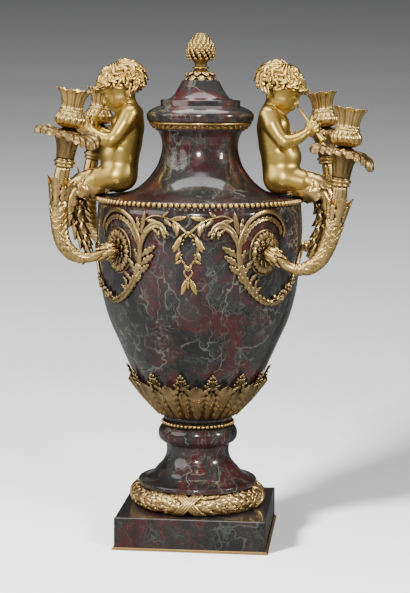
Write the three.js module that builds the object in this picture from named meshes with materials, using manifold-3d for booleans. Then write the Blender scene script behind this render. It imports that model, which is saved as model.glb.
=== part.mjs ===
// A covered vase of red and green marble with gilt-bronze mounts: a square plinth, a turned foot in a laurel
// wreath, an ovoid body in a leaf cup, a concave neck, a domed lid with a pine cone, two children with leafy
// legs who play double pipes on the shoulder, and four horn-shaped candle branches on oval rosettes.
// Millimetres, +Z up, front towards -Y, origin at the middle of the underside.
import * as THREE from "three";
import { mergeVertices } from "three/addons/utils/BufferGeometryUtils.js";
import Module from "manifold-3d";

const wasm = await Module();
wasm.setup();

// Plinth and its gilt rim
const PLINTH_SIDE = 207.5;
const PLINTH_HEIGHT = 44.5;
const RIM_HEIGHT = 3.6;
const RIM_PROUD = 3;

// Foot and wreath
const WREATH_HEIGHT = 29.3;
const WREATH_RADIUS = 94.8;
const WREATH_WIDTH = 28;
const LAUREL_DEPTH = 2;
const DISC_RADIUS = 83;
const DISC_THICKNESS = 7;
const STEM_RADIUS = 43.7;
const STEM_HEIGHT = 53;
const TORUS_RADIUS = 55.6;
const TORUS_HEIGHT = 24;
const COLLAR_HEIGHT = 14.4;
const COLLAR_RADIUS = 45.5;
const COLLAR_BEADS = 24;
const COLLAR_BEAD_SIZE = 6;

// Body
const BODY_HEIGHT = 304.8;
const BODY_RADIUS = 142.6;
const BODY_WALL = 13;
const BODY_FLOOR = 30;
const BODY_MOUTH = 95;
const SHOULDER_BEADS = 42;
const SHOULDER_BEAD_SIZE = 7.2;

// Neck and lid
const NECK_HEIGHT = 102.6;
const NECK_THROAT = 52.4;
const NECK_MOUTH = 62;
const NECK_WALL = 11;
const FRIEZE_HEIGHT = 10;
const FRIEZE_THICKNESS = 8;
const LID_RADIUS = 73.8;
const LID_RIM_HEIGHT = 21.6;
const LID_PLATE_RADIUS = 55.1;
const LID_PLATE_HEIGHT = 8.5;
const LID_CONE_HEIGHT = 26.5;
const LID_CONE_RADIUS = 43;
const LID_TOP_RADIUS = 25;
const SPIGOT_DEPTH = 9;
const CLEARANCE = 1;

// Finial
const LEAF_COLLAR_RADIUS = 26;
const LEAF_COLLAR_HEIGHT = 11.4;
const CONE_RADIUS = 20.5;
const CONE_HEIGHT = 55;
const CONE_STEM_RADIUS = 8.5;

// Leaf cup under the body
const CUP_HEIGHT = 52;
const CUP_LEAVES = 14;
const CUP_THICKNESS = 3;
const FLORET_RISE = 24;

// Candle branches
const ROSETTE_ANGLE = 43;
const ROSETTE_SHARE = 0.783;
const ROSETTE_HALF_WIDTH = 25;
const ROSETTE_HALF_HEIGHT = 31;
const ROSETTE_HEIGHT = 9;
const BRANCH_REACH = 71.5;
const BRANCH_RISE = 118.5;
const BRANCH_SAG = 10;
const BRANCH_RADIUS = 11;
const BRANCH_ROOT_RADIUS = 7;
const BRANCH_RING_RADIUS = 15;
const BRANCH_TILT = 8;
const BRANCH_LEAN = { front_left: 0, front_right: 15, back_left: 0, back_right: 2 };
const PAN_RADIUS = 50;
const PAN_HEIGHT = 47;
const PAN_PETALS = 5;
const PAN_THICKNESS = 3;
const NOZZLE_HEIGHT = 52;
const NOZZLE_BULGE_RADIUS = 21.5;
const NOZZLE_NECK_RADIUS = 16;
const NOZZLE_LIP_RADIUS = 24;
const SOCKET_RADIUS = 11;
const SOCKET_DEPTH = 30;

// Figures
const FIGURE_HEIGHT = 189;
const FIGURE_REACH = 115;
const PIPE_RADIUS = 2;
const PIPE_BELL_RADIUS = 4.5;

// Relief on the body
const RELIEF = 8;
const LOOP_HALF_WIDTH = 54;
const LOOP_HALF_HEIGHT = 61.4;
const LOOP_BAND = 6;
const PENDANT_HALF_WIDTH = 24;
const PENDANT_HALF_HEIGHT = 44;
const PENDANT_BAND = 3.2;
const SEAT = 0.5;

// Fineness of the turned pieces
const TURNED_SIDES = 20;
const BODY_SIDES = 24;
const BODY_STEPS = 8;
const JOIN_FINENESS = 0.4;

const RADIANS = Math.PI / 180;
const TURN = 2 * Math.PI;

// Levels, each worked out from the one below
const plinthTop = PLINTH_HEIGHT;
const discFloor = plinthTop + WREATH_HEIGHT;
const discTop = discFloor + DISC_THICKNESS;
const torusFloor = discTop + STEM_HEIGHT;
const torusTop = torusFloor + TORUS_HEIGHT;
const bodyFloor = torusTop + COLLAR_HEIGHT;
const bodyTop = bodyFloor + BODY_HEIGHT;
const beadLedge = bodyTop - SHOULDER_BEAD_SIZE;
const neckTop = bodyTop + NECK_HEIGHT;
const lidFloor = neckTop;
const plateFloor = lidFloor + LID_RIM_HEIGHT;
const plateTop = plateFloor + LID_PLATE_HEIGHT;
const lidTop = plateTop + LID_CONE_HEIGHT;

const gilt = new THREE.MeshStandardMaterial({ color: 0xb08a45, roughness: 0.32, metalness: 1 });
const marble = new THREE.MeshStandardMaterial({ color: 0x4a3434, roughness: 0.15, metalness: 0 });

const vase = new THREE.Group();

function add(name, geometry, material, holder = vase) {
  const mesh = new THREE.Mesh(geometry, material);
  mesh.name = name;
  holder.add(mesh);
  return mesh;
}

// Solids for joining and cutting
function toSolid(geometry) {
  const bare = geometry.clone();
  bare.deleteAttribute("normal");
  bare.deleteAttribute("uv");
  const merged = mergeVertices(bare, 1e-3);
  return new wasm.Manifold(
    new wasm.Mesh({
      numProp: 3,
      vertProperties: new Float32Array(merged.attributes.position.array),
      triVerts: new Uint32Array(merged.index.array),
    }),
  );
}

function toGeometry(solid) {
  const made = solid.getMesh();
  const geometry = new THREE.BufferGeometry();
  geometry.setAttribute("position", new THREE.BufferAttribute(new Float32Array(made.vertProperties), 3));
  geometry.setIndex(new THREE.BufferAttribute(new Uint32Array(made.triVerts), 1));
  return geometry;
}

// One body from several, with slivers along the joins smoothed away
function join(geometries, fineness = JOIN_FINENESS) {
  const whole = geometries.map(toSolid).reduce((sum, piece) => sum.add(piece));
  return toGeometry(whole.simplify(fineness));
}

// A turned piece about Z from a profile of [radius, height]; warp may shift each point by its angle.
function turned(profile, sides = TURNED_SIDES, warp = null) {
  const geometry = new THREE.LatheGeometry(
    profile.map(([radius, height]) => new THREE.Vector2(radius, height)),
    sides,
  );
  geometry.rotateX(Math.PI / 2);
  if (!warp) return geometry;
  const place = geometry.attributes.position;
  for (let i = 0; i < place.count; i++) {
    const angle = Math.atan2(place.getY(i), place.getX(i));
    const radius = Math.hypot(place.getX(i), place.getY(i));
    const [r, z] = warp(angle, radius, place.getZ(i));
    place.setXYZ(i, r * Math.cos(angle), r * Math.sin(angle), z);
  }
  return geometry;
}

// The same faces turned to look outwards, whichever way they were listed.
function outwards(geometry) {
  const place = geometry.attributes.position;
  const index = geometry.index.array;
  const corner = (i) => new THREE.Vector3().fromBufferAttribute(place, index[i]);
  let volume = 0;
  for (let i = 0; i < index.length; i += 3) {
    volume += corner(i).dot(corner(i + 1).cross(corner(i + 2)));
  }
  if (volume < 0) index.reverse();
  return geometry;
}

// A closed skin over a row of rings of points, with a flat fan at each end.
function skin(rings) {
  const sides = rings[0].length;
  const points = rings.flat();
  const faces = [];
  for (let i = 0; i + 1 < rings.length; i++) {
    for (let j = 0; j < sides; j++) {
      const a = i * sides + j;
      const b = i * sides + ((j + 1) % sides);
      faces.push(a, b, b + sides, a, b + sides, a + sides);
    }
  }
  const last = (rings.length - 1) * sides;
  for (let j = 1; j + 1 < sides; j++) {
    faces.push(0, j + 1, j);
    faces.push(last, last + j, last + j + 1);
  }
  const geometry = new THREE.BufferGeometry().setFromPoints(points);
  geometry.setIndex(faces);
  return outwards(geometry);
}

// A tapering tube along a curve: radius(t) may give one number or [across, along up].
function tube(curve, steps, sides, radius, up = new THREE.Vector3(0, 1, 0)) {
  const rings = [];
  for (let i = 0; i <= steps; i++) {
    const t = i / steps;
    const centre = curve.getPoint(t);
    const along = curve.getTangent(t);
    const across = new THREE.Vector3().crossVectors(along, up).normalize();
    const above = new THREE.Vector3().crossVectors(across, along).normalize();
    const size = radius(t);
    const [wide, tall] = Array.isArray(size) ? size : [size, size];
    const ring = [];
    for (let j = 0; j < sides; j++) {
      const angle = (j / sides) * TURN;
      ring.push(
        centre
          .clone()
          .addScaledVector(across, wide * Math.cos(angle))
          .addScaledVector(above, tall * Math.sin(angle)),
      );
    }
    rings.push(ring);
  }
  return skin(rings);
}

const spline = (points) => new THREE.CatmullRomCurve3(points.map((p) => new THREE.Vector3(...p)));

function ball(place, size, sides = 8, rows = 5) {
  const geometry = new THREE.SphereGeometry(1, sides, rows);
  geometry.rotateX(Math.PI / 2);
  geometry.scale(...size);
  geometry.translate(...place);
  return geometry;
}

// Outline of the body as shares of its height and widest radius
const BODY_OUTLINE = new THREE.SplineCurve(
  [
    [0, 0.347],
    [0.032, 0.419],
    [0.117, 0.555],
    [0.229, 0.673],
    [0.34, 0.778],
    [0.451, 0.88],
    [0.571, 0.947],
    [0.709, 0.982],
    [0.846, 1],
    [0.976, 0.984],
  ].map(([up, out]) => new THREE.Vector2(up, out)),
);
const bodyProfile = BODY_OUTLINE.getSpacedPoints(BODY_STEPS).map((p) => [
  p.y * BODY_RADIUS,
  bodyFloor + p.x * BODY_HEIGHT,
]);
const fineOutline = BODY_OUTLINE.getPoints(64);

function bodyRadius(level) {
  const share = THREE.MathUtils.clamp((level - bodyFloor) / BODY_HEIGHT, 0, fineOutline.at(-1).x);
  const above = Math.max(
    1,
    fineOutline.findIndex((p) => p.x >= share),
  );
  const [low, high] = [fineOutline[above - 1], fineOutline[above]];
  const part = (share - low.x) / (high.x - low.x);
  return (low.y + part * (high.y - low.y)) * BODY_RADIUS;
}
const ledgeRadius = bodyRadius(beadLedge) - SHOULDER_BEAD_SIZE / 2;

// A point proud of the body by height, at an angle from the front towards the right.
function onBody(angle, level, height) {
  const radius = bodyRadius(level) + height;
  return new THREE.Vector3(radius * Math.sin(angle * RADIANS), -radius * Math.cos(angle * RADIANS), level);
}

function square(side) {
  const half = side / 2;
  const corners = [
    [-half, -half],
    [half, -half],
    [half, half],
    [-half, half],
  ];
  return new THREE.Shape(corners.map((p) => new THREE.Vector2(...p)));
}

// Plinth: a block of marble with a gilt moulding round its lower edge
function plinth() {
  const block = new THREE.BoxGeometry(PLINTH_SIDE, PLINTH_SIDE, PLINTH_HEIGHT);
  block.translate(0, 0, PLINTH_HEIGHT / 2);
  add("plinth", block, marble);
  const frame = square(PLINTH_SIDE + 2 * RIM_PROUD);
  frame.holes.push(square(PLINTH_SIDE + SEAT));
  add("plinth_rim", new THREE.ExtrudeGeometry(frame, { depth: RIM_HEIGHT, bevelEnabled: false }), gilt);
}

// Foot: a disc, a concave stem, a torus and a short collar, standing inside the wreath
function foot() {
  const core = WREATH_RADIUS - WREATH_WIDTH - CLEARANCE;
  const flare = DISC_RADIUS - STEM_RADIUS;
  const stem = [
    [0.75, 0.02],
    [0.34, 0.29],
    [0.08, 0.52],
    [0, 0.8],
  ].map(([out, up]) => [STEM_RADIUS + out * flare, discTop + up * STEM_HEIGHT]);
  const swell = TORUS_RADIUS - COLLAR_RADIUS;
  const round = [
    [0.7, 0.2],
    [1, 0.55],
    [0.7, 0.9],
  ].map(([out, up]) => [COLLAR_RADIUS + out * swell, torusFloor + up * TORUS_HEIGHT]);
  add(
    "foot",
    turned([
      [0, plinthTop],
      [core, plinthTop],
      [core, discFloor],
      [DISC_RADIUS, discFloor],
      [DISC_RADIUS, discTop],
      ...stem,
      ...round,
      [COLLAR_RADIUS, torusTop],
      [COLLAR_RADIUS, bodyFloor],
      [0, bodyFloor],
    ]),
    marble,
  );
}

// Wreath: a laurel roll whose outer edge swells and sinks with the leaves
function wreath() {
  const middle = WREATH_RADIUS - WREATH_WIDTH / 2;
  const sides = 32;
  const corners = 5;
  const section = [];
  for (let i = 0; i <= corners; i++) {
    const angle = (i / corners) * TURN;
    section.push([
      middle + (WREATH_WIDTH / 2) * Math.cos(angle),
      plinthTop + WREATH_HEIGHT / 2 + (WREATH_HEIGHT / 2) * Math.sin(angle),
    ]);
  }
  const leafy = (angle, radius, level) => {
    const leaf = Math.round((angle / TURN) * sides) % 2 ? LAUREL_DEPTH : 0;
    return [radius > middle ? radius - leaf : radius, level];
  };
  add("foot_wreath", turned(section, sides, leafy), gilt);
}

// A ring of beads, drawn as a three-sided string that swells at each bead
function beadRing(name, radius, level, size, beads) {
  const rings = [];
  for (let i = 0; i < beads * 2; i++) {
    const angle = (i / (beads * 2)) * TURN;
    const half = (i % 2 ? 0.3 : 0.5) * size;
    const ring = [];
    for (let j = 0; j < 3; j++) {
      const around = (j / 3) * TURN;
      const out = radius + half * Math.cos(around);
      const up = level + half * Math.sin(around);
      ring.push(new THREE.Vector3(out * Math.cos(angle), out * Math.sin(angle), up));
    }
    rings.push(ring);
  }
  const faces = [];
  for (let i = 0; i < rings.length; i++) {
    const next = (i + 1) % rings.length;
    for (let j = 0; j < 3; j++) {
      const k = (j + 1) % 3;
      faces.push(i * 3 + j, next * 3 + k, i * 3 + k, i * 3 + j, next * 3 + j, next * 3 + k);
    }
  }
  const geometry = new THREE.BufferGeometry().setFromPoints(rings.flat());
  geometry.setIndex(faces);
  add(name, outwards(geometry), gilt);
}

// Body: a hollow ovoid with a ledge for the shoulder beads and an open mouth
function body() {
  const inside = (share) => {
    const level = bodyFloor + BODY_FLOOR + share * (BODY_HEIGHT - BODY_FLOOR);
    return [bodyRadius(level) - BODY_WALL, level];
  };
  add(
    "body",
    turned(
      [
        [0, bodyFloor],
        ...bodyProfile,
        [ledgeRadius, beadLedge],
        [ledgeRadius, bodyTop],
        [BODY_MOUTH, bodyTop],
        inside(0.85),
        inside(0.35),
        inside(0),
        [0, bodyFloor + BODY_FLOOR],
      ],
      BODY_SIDES,
    ),
    marble,
  );
}

// Outline of the neck from its foot to its mouth
function neckOutline() {
  const flare = ledgeRadius - NECK_THROAT;
  return [
    [1, 0],
    [0.61, 0.044],
    [0.46, 0.084],
    [0.32, 0.165],
    [0.13, 0.34],
    [0, 0.62],
    [0.05, 0.86],
  ].map(([out, up]) => [NECK_THROAT + out * flare, bodyTop + up * NECK_HEIGHT]);
}

// Neck: a concave flare from the shoulder to the mouth, open right through
function neck() {
  const inside = NECK_THROAT - NECK_WALL;
  const outer = neckOutline();
  add(
    "neck",
    turned([
      ...outer,
      [NECK_MOUTH, neckTop - FRIEZE_HEIGHT],
      [NECK_MOUTH, neckTop],
      [inside, neckTop],
      [inside, bodyTop + 0.4 * NECK_HEIGHT],
      [BODY_MOUTH - 2 * NECK_WALL, bodyTop],
      outer[0],
    ], BODY_SIDES),
    marble,
  );
}

// Frieze: a gilt band with a scalloped lower edge round the neck's mouth
function frieze() {
  const inside = NECK_MOUTH + CLEARANCE;
  const outside = inside + FRIEZE_THICKNESS;
  add(
    "neck_frieze",
    turned([
      [inside, neckTop - FRIEZE_HEIGHT],
      [outside - 0.7 * FRIEZE_THICKNESS, neckTop - FRIEZE_HEIGHT],
      [outside, neckTop],
      [inside, neckTop],
      [inside, neckTop - FRIEZE_HEIGHT],
    ]),
    gilt,
  );
}

// Lid: a rounded rim, a stepped plate and a concave cone, with a spigot in the neck's mouth
function lid() {
  const spigot = NECK_THROAT - NECK_WALL - CLEARANCE;
  const rise = LID_RIM_HEIGHT;
  const taper = LID_CONE_RADIUS - LID_TOP_RADIUS;
  add(
    "lid",
    turned([
      [0, lidFloor - SPIGOT_DEPTH],
      [spigot, lidFloor - SPIGOT_DEPTH],
      [spigot, lidFloor],
      [LID_RADIUS - 0.14 * rise, lidFloor],
      [LID_RADIUS, lidFloor + 0.3 * rise],
      [LID_RADIUS - 0.28 * rise, lidFloor + 0.72 * rise],
      [LID_PLATE_RADIUS, plateFloor],
      [LID_PLATE_RADIUS, plateTop],
      [LID_CONE_RADIUS, plateTop],
      [LID_TOP_RADIUS + 0.4 * taper, plateTop + 0.4 * LID_CONE_HEIGHT],
      [LID_TOP_RADIUS, lidTop],
      [0, lidTop],
    ]),
    marble,
  );
}

// Finial: a collar of leaves and a pine cone with scales
function finial() {
  const collarTop = lidTop + LEAF_COLLAR_HEIGHT;
  const leaves = 6;
  const petal = (angle, radius, level) => {
    const edge = radius > LID_TOP_RADIUS - 3 ? 1 : 0;
    return [radius + edge * (Math.cos(angle * leaves) - 1), level];
  };
  add(
    "finial_collar",
    turned(
      [
        [0, lidTop],
        [LID_TOP_RADIUS - 2, lidTop],
        [LEAF_COLLAR_RADIUS, lidTop + 0.2 * LEAF_COLLAR_HEIGHT],
        [0.7 * LEAF_COLLAR_RADIUS, lidTop + 0.5 * LEAF_COLLAR_HEIGHT],
        [CONE_STEM_RADIUS + 2, collarTop],
        [0, collarTop],
      ],
      2 * leaves,
      petal,
    ),
    gilt,
  );
  const scales = 6;
  const scale = (angle, radius, level) => {
    const row = Math.round((7 * (level - collarTop)) / CONE_HEIGHT);
    const bump = radius > CONE_STEM_RADIUS + 2 ? Math.cos(angle * scales + row * Math.PI) - 1 : 0;
    return [radius + bump, level];
  };
  add(
    "finial_cone",
    turned(
      [
        [0, collarTop],
        [CONE_STEM_RADIUS + 1.5, collarTop],
        [CONE_STEM_RADIUS, collarTop + 0.24 * CONE_HEIGHT],
        [CONE_RADIUS, collarTop + 0.42 * CONE_HEIGHT],
        [CONE_RADIUS, collarTop + 0.58 * CONE_HEIGHT],
        [0.9 * CONE_RADIUS, collarTop + 0.7 * CONE_HEIGHT],
        [0.62 * CONE_RADIUS, collarTop + 0.87 * CONE_HEIGHT],
        [0, collarTop + CONE_HEIGHT],
      ],
      2 * scales,
      scale,
    ),
    gilt,
  );
}

// Leaf cup: leaves that stand against the lower body, with a pointed floret between each two
const cupFloor = bodyFloor + 2;
const cupSeat = SEAT + CLEARANCE;
const leafStart = 4.5;

function leafCup() {
  const profile = [
    [2, 0],
    [2, 0.5],
    [2, 1],
    [1, 1],
    [1, 0.65],
    [1, 0.3],
    [1, 0],
    [2, 0],
  ];
  const sides = 3 * CUP_LEAVES;
  const shape = (angle, radius, share) => {
    const column = Math.round(((angle + Math.PI / 2) / TURN) * sides + sides);
    const floret = column % 3 === 0;
    const level = cupFloor + share * (CUP_HEIGHT + (floret ? FLORET_RISE : -4));
    const thick = radius > 1.5 ? CUP_THICKNESS * (floret && share < 1 ? 0.5 : 1) : 0;
    return [bodyRadius(level) + cupSeat + thick, level];
  };
  const cup = turned(profile, sides, shape);
  cup.rotateZ(leafStart * RADIANS);
  add("leaf_cup", cup, gilt);
}

// A raised strip on the body along points of [angle, level, half width, height], three-sided.
function reliefStrip(points) {
  const last = points.length - 1;
  const rings = points.map(([angle, level, wide, high], i) => {
    const perDegree = bodyRadius(level) * RADIANS;
    const [before, after] = [points[Math.max(i - 1, 0)], points[Math.min(i + 1, last)]];
    const run = new THREE.Vector2((after[0] - before[0]) * perDegree, after[1] - before[1]).normalize();
    const edge = (side) => onBody(angle + (side * run.y) / perDegree, level - side * run.x, SEAT);
    return [edge(wide), onBody(angle, level, SEAT + high), edge(-wide)];
  });
  return skin(rings);
}

// A leaf on the body: a four-sided point of the given length and width, aimed at an angle from level.
function reliefLeaf(angle, level, length, width, aim, height) {
  const perDegree = bodyRadius(level) * RADIANS;
  const corner = (along, side) => {
    const c = Math.cos(aim * RADIANS);
    const s = Math.sin(aim * RADIANS);
    return [angle + (along * c - side * s) / perDegree, level + along * s + side * c];
  };
  const points = [
    onBody(...corner(length / 2, 0), SEAT),
    onBody(...corner(-length * 0.1, width / 2), SEAT),
    onBody(...corner(-length / 2, 0), SEAT),
    onBody(...corner(-length * 0.1, -width / 2), SEAT),
    onBody(angle, level, SEAT + height),
  ];
  const geometry = new THREE.BufferGeometry().setFromPoints(points);
  geometry.setIndex([0, 1, 4, 1, 2, 4, 2, 3, 4, 3, 0, 4, 0, 2, 1, 0, 3, 2]);
  return outwards(geometry);
}

const rosetteLevel = bodyFloor + ROSETTE_SHARE * BODY_HEIGHT;
const branchRoot = bodyRadius(rosetteLevel) + SEAT + ROSETTE_HEIGHT;

// Scroll mount: an open loop round the rosette, with a hooked bud, outer leaves, a spray and a strap that
// runs up towards the figure's tail. Places are shares of the loop's half width and half height.
function scrollMount(name, facing, side) {
  const perDegree = bodyRadius(rosetteLevel) * RADIANS;
  const place = (across, up) => [
    facing + side * (ROSETTE_ANGLE + (across * LOOP_HALF_WIDTH) / perDegree),
    rosetteLevel + up * LOOP_HALF_HEIGHT,
  ];
  const strip = (points, wide, high) =>
    reliefStrip(points.map(([across, up], i) => [...place(across, up), wide * (1 - 0.04 * i), high]));
  const leaf = (across, up, length, width, aim) => {
    const turned = side > 0 ? aim : 180 - aim;
    return reliefLeaf(...place(across, up), length * LOOP_BAND, width * LOOP_BAND, turned, RELIEF * 0.6);
  };
  const loop = [
    [0.85, 0.26],
    [0.62, 0.7],
    [0.1, 0.88],
    [-0.45, 0.82],
    [-0.85, 0.45],
    [-1.01, 0],
    [-0.85, -0.42],
    [-0.5, -0.8],
    [0, -1.04],
    [0.45, -1.12],
    [0.8, -1.06],
    [1.14, -0.84],
    [1.5, -0.45],
  ];
  const bud = [
    [-0.95, 0.3],
    [-1.1, 0.62],
    [-1.3, 0.66],
    [-1.42, 0.46],
  ];
  const spray = [
    [-0.95, 0.4],
    [-1.1, 0.82],
    [-1.55, 0.82],
  ];
  add(
    name,
    join([
      strip(loop, LOOP_BAND, RELIEF),
      strip(bud, 0.83 * LOOP_BAND, RELIEF * 0.9),
      strip(spray, 0.42 * LOOP_BAND, RELIEF * 0.5),
      leaf(-1.17, 0.12, 4.33, 2, 150),
      leaf(-1.05, -0.2, 4.33, 2, 150),
      leaf(-0.82, -0.54, 3.67, 1.67, 155),
      leaf(-1.0, 0.82, 3.33, 1.33, 92),
    ]),
    gilt,
  );
}

// Pendant: a small laurel wreath under two sprigs, with a knot and two hanging leaves. Places are shares of
// its half width and half height.
function pendant(name, facing) {
  const perDegree = bodyRadius(rosetteLevel) * RADIANS;
  const place = (across, up) => [
    facing + (across * PENDANT_HALF_WIDTH) / perDegree,
    rosetteLevel + up * PENDANT_HALF_HEIGHT,
  ];
  const high = RELIEF * 0.5;
  const ring = [];
  for (let i = 0; i <= 6; i++) {
    const angle = (100 + (i / 6) * 340) * RADIANS;
    ring.push([...place(0.58 * Math.cos(angle), 0.18 + 0.45 * Math.sin(angle)), PENDANT_BAND, high]);
  }
  const strip = (points, wide) => reliefStrip(points.map((p) => [...place(...p), wide * PENDANT_BAND, high]));
  const leaf = (across, up, length, aim) => {
    return reliefLeaf(...place(across, up), length * PENDANT_HALF_HEIGHT, 2.8 * PENDANT_BAND, aim, high);
  };
  const knot = [
    [0, -0.23],
    [0, -0.86],
  ];
  const parts = [reliefStrip(ring), strip(knot, 1)];
  for (const side of [-1, 1]) {
    const sprig = [
      [side * 0.08, 0.59],
      [side, 1],
    ];
    parts.push(
      strip(sprig, 0.6),
      leaf(side * 0.58, 0.91, 0.45, 90 - side * 70),
      leaf(side * 0.29, -0.98, 0.64, -90 + side * 24),
    );
  }
  add(name, join(parts), gilt);
}

// Rosette: an oval boss of petals, bent to the body and domed towards its middle
function rosette(name, facing, side) {
  const angle = facing + side * ROSETTE_ANGLE;
  const perDegree = bodyRadius(rosetteLevel) * RADIANS;
  const petals = turned(
    [
      [0, 0],
      [1, 0],
      [0.92, 0.3],
      [0.4, 0.5],
      [0.34, 1],
      [0, 1],
    ],
    10,
  );
  const place = petals.attributes.position;
  const front = new THREE.Vector3(Math.sin(angle * RADIANS), -Math.cos(angle * RADIANS), 0);
  const across = new THREE.Vector3(-front.y, front.x, 0);
  for (let i = 0; i < place.count; i++) {
    const x = place.getX(i) * ROSETTE_HALF_WIDTH;
    const y = place.getY(i) * ROSETTE_HALF_HEIGHT;
    const z = place.getZ(i);
    const at = onBody(angle + x / perDegree, rosetteLevel + y, SEAT + z * ROSETTE_HEIGHT);
    if (z > 0.9) {
      at.copy(front).multiplyScalar(branchRoot).addScaledVector(across, x).setZ(rosetteLevel + y);
    }
    place.setXYZ(i, at.x, at.y, at.z);
  }
  add(name, petals, gilt);
}

// Branches: each stands at its rosette and leans about the fore-and-aft axis through it
function branch(name, facing, side) {
  const angle = (facing + side * ROSETTE_ANGLE) * RADIANS;
  const forward = facing ? 1 : -1;
  const outward = side * -forward;
  const lean = BRANCH_LEAN[name] * RADIANS;
  const holder = new THREE.Group();
  holder.position.set(branchRoot * Math.sin(angle), -branchRoot * Math.cos(angle), rosetteLevel);
  holder.rotation.y = outward * lean;
  vase.add(holder);
  const at = (out, along, up) => [outward * out * BRANCH_REACH, forward * along, up * BRANCH_RISE];
  const start = SEAT + BRANCH_ROOT_RADIUS * Math.sin(lean);
  const root = (far) => [far * Math.sin(angle), -far * Math.cos(angle), 0];
  const sag = -BRANCH_SAG / BRANCH_RISE;
  const points = [
    root(start),
    root(start + 8),
    at(0.42, 6, 0.95 * sag),
    at(0.68, 7, 0.8 * sag),
    at(0.91, 8, 0.06),
    at(1, 8, 0.26),
    at(1.01, 8, 0.55),
    at(0.97, 8, 0.8),
    at(0.9, 8, 1),
  ];
  const radius = (t) => BRANCH_ROOT_RADIUS + (BRANCH_RADIUS - BRANCH_ROOT_RADIUS) * Math.min(1, t * 1.4);
  const horn = tube(spline(points), 10, 6, radius);
  const tilt = -outward * BRANCH_TILT * RADIANS;
  const ring = turned(
    [
      [0, -4],
      [BRANCH_RADIUS - 1, -4],
      [BRANCH_RING_RADIUS, 0],
      [BRANCH_RADIUS, 3],
      [0, 3],
    ],
    6,
  );
  ring.rotateY(tilt);
  ring.translate(...points.at(-1));
  add(`branch_${name}`, join([horn, ring]), gilt, holder);

  // The pan and the nozzle stand on the ring, along the branch's last direction
  const top = new THREE.Group();
  top.position.set(...points.at(-1));
  top.rotation.y = tilt;
  holder.add(top);
  const floor = 3 + 0.3;
  const rim = floor + PAN_HEIGHT;
  const inside = floor + 0.85 * PAN_HEIGHT;
  const wave = (around, r, z) => {
    const out = THREE.MathUtils.clamp((r - BRANCH_RING_RADIUS) / (PAN_RADIUS - BRANCH_RING_RADIUS), 0, 1);
    const petal = Math.cos(around * PAN_PETALS);
    return [r * (1 + 0.1 * out * petal), z - out * (3 + 4 * petal)];
  };
  add(
    `pan_${name}`,
    turned(
      [
        [0, floor],
        [BRANCH_RADIUS - 1, floor],
        [0.36 * PAN_RADIUS, floor + 0.62 * PAN_HEIGHT],
        [PAN_RADIUS, rim - PAN_THICKNESS],
        [PAN_RADIUS, rim],
        [0.5 * PAN_RADIUS, inside],
        [0, inside],
      ],
      3 * PAN_PETALS,
      wave,
    ),
    gilt,
    top,
  );
  const seat = inside + 0.3;
  const lobes = 6;
  const flute = (around, r, z) => {
    const edge = r > NOZZLE_NECK_RADIUS ? Math.cos(around * lobes) : 0;
    return [r + 0.8 * edge, z];
  };
  add(
    `nozzle_${name}`,
    turned(
      [
        [0, seat],
        [0.6 * NOZZLE_BULGE_RADIUS, seat],
        [NOZZLE_BULGE_RADIUS, seat + 0.19 * NOZZLE_HEIGHT],
        [NOZZLE_NECK_RADIUS, seat + 0.42 * NOZZLE_HEIGHT],
        [NOZZLE_LIP_RADIUS, seat + NOZZLE_HEIGHT],
        [SOCKET_RADIUS, seat + NOZZLE_HEIGHT - 2],
        [SOCKET_RADIUS, seat + NOZZLE_HEIGHT - SOCKET_DEPTH],
        [0, seat + NOZZLE_HEIGHT - SOCKET_DEPTH],
      ],
      2 * lobes,
      flute,
    ),
    gilt,
    top,
  );
}

// All the marble and the shoulder beads with a little room round them, for seating the figures
function marbleRoom() {
  const round = 1 / Math.cos(Math.PI / BODY_SIDES);
  const beads = (ledgeRadius + SHOULDER_BEAD_SIZE + CLEARANCE) * round;
  return toSolid(
    turned(
      [
        [0, bodyFloor],
        ...bodyProfile.map(([r, z]) => [r + SEAT, z]),
        [beads, beadLedge - SEAT],
        [beads, bodyTop + SEAT],
        ...neckOutline().map(([r, z]) => [r + SEAT, z + SEAT]),
        [0, neckTop],
      ],
      BODY_SIDES,
    ),
  );
}

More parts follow.
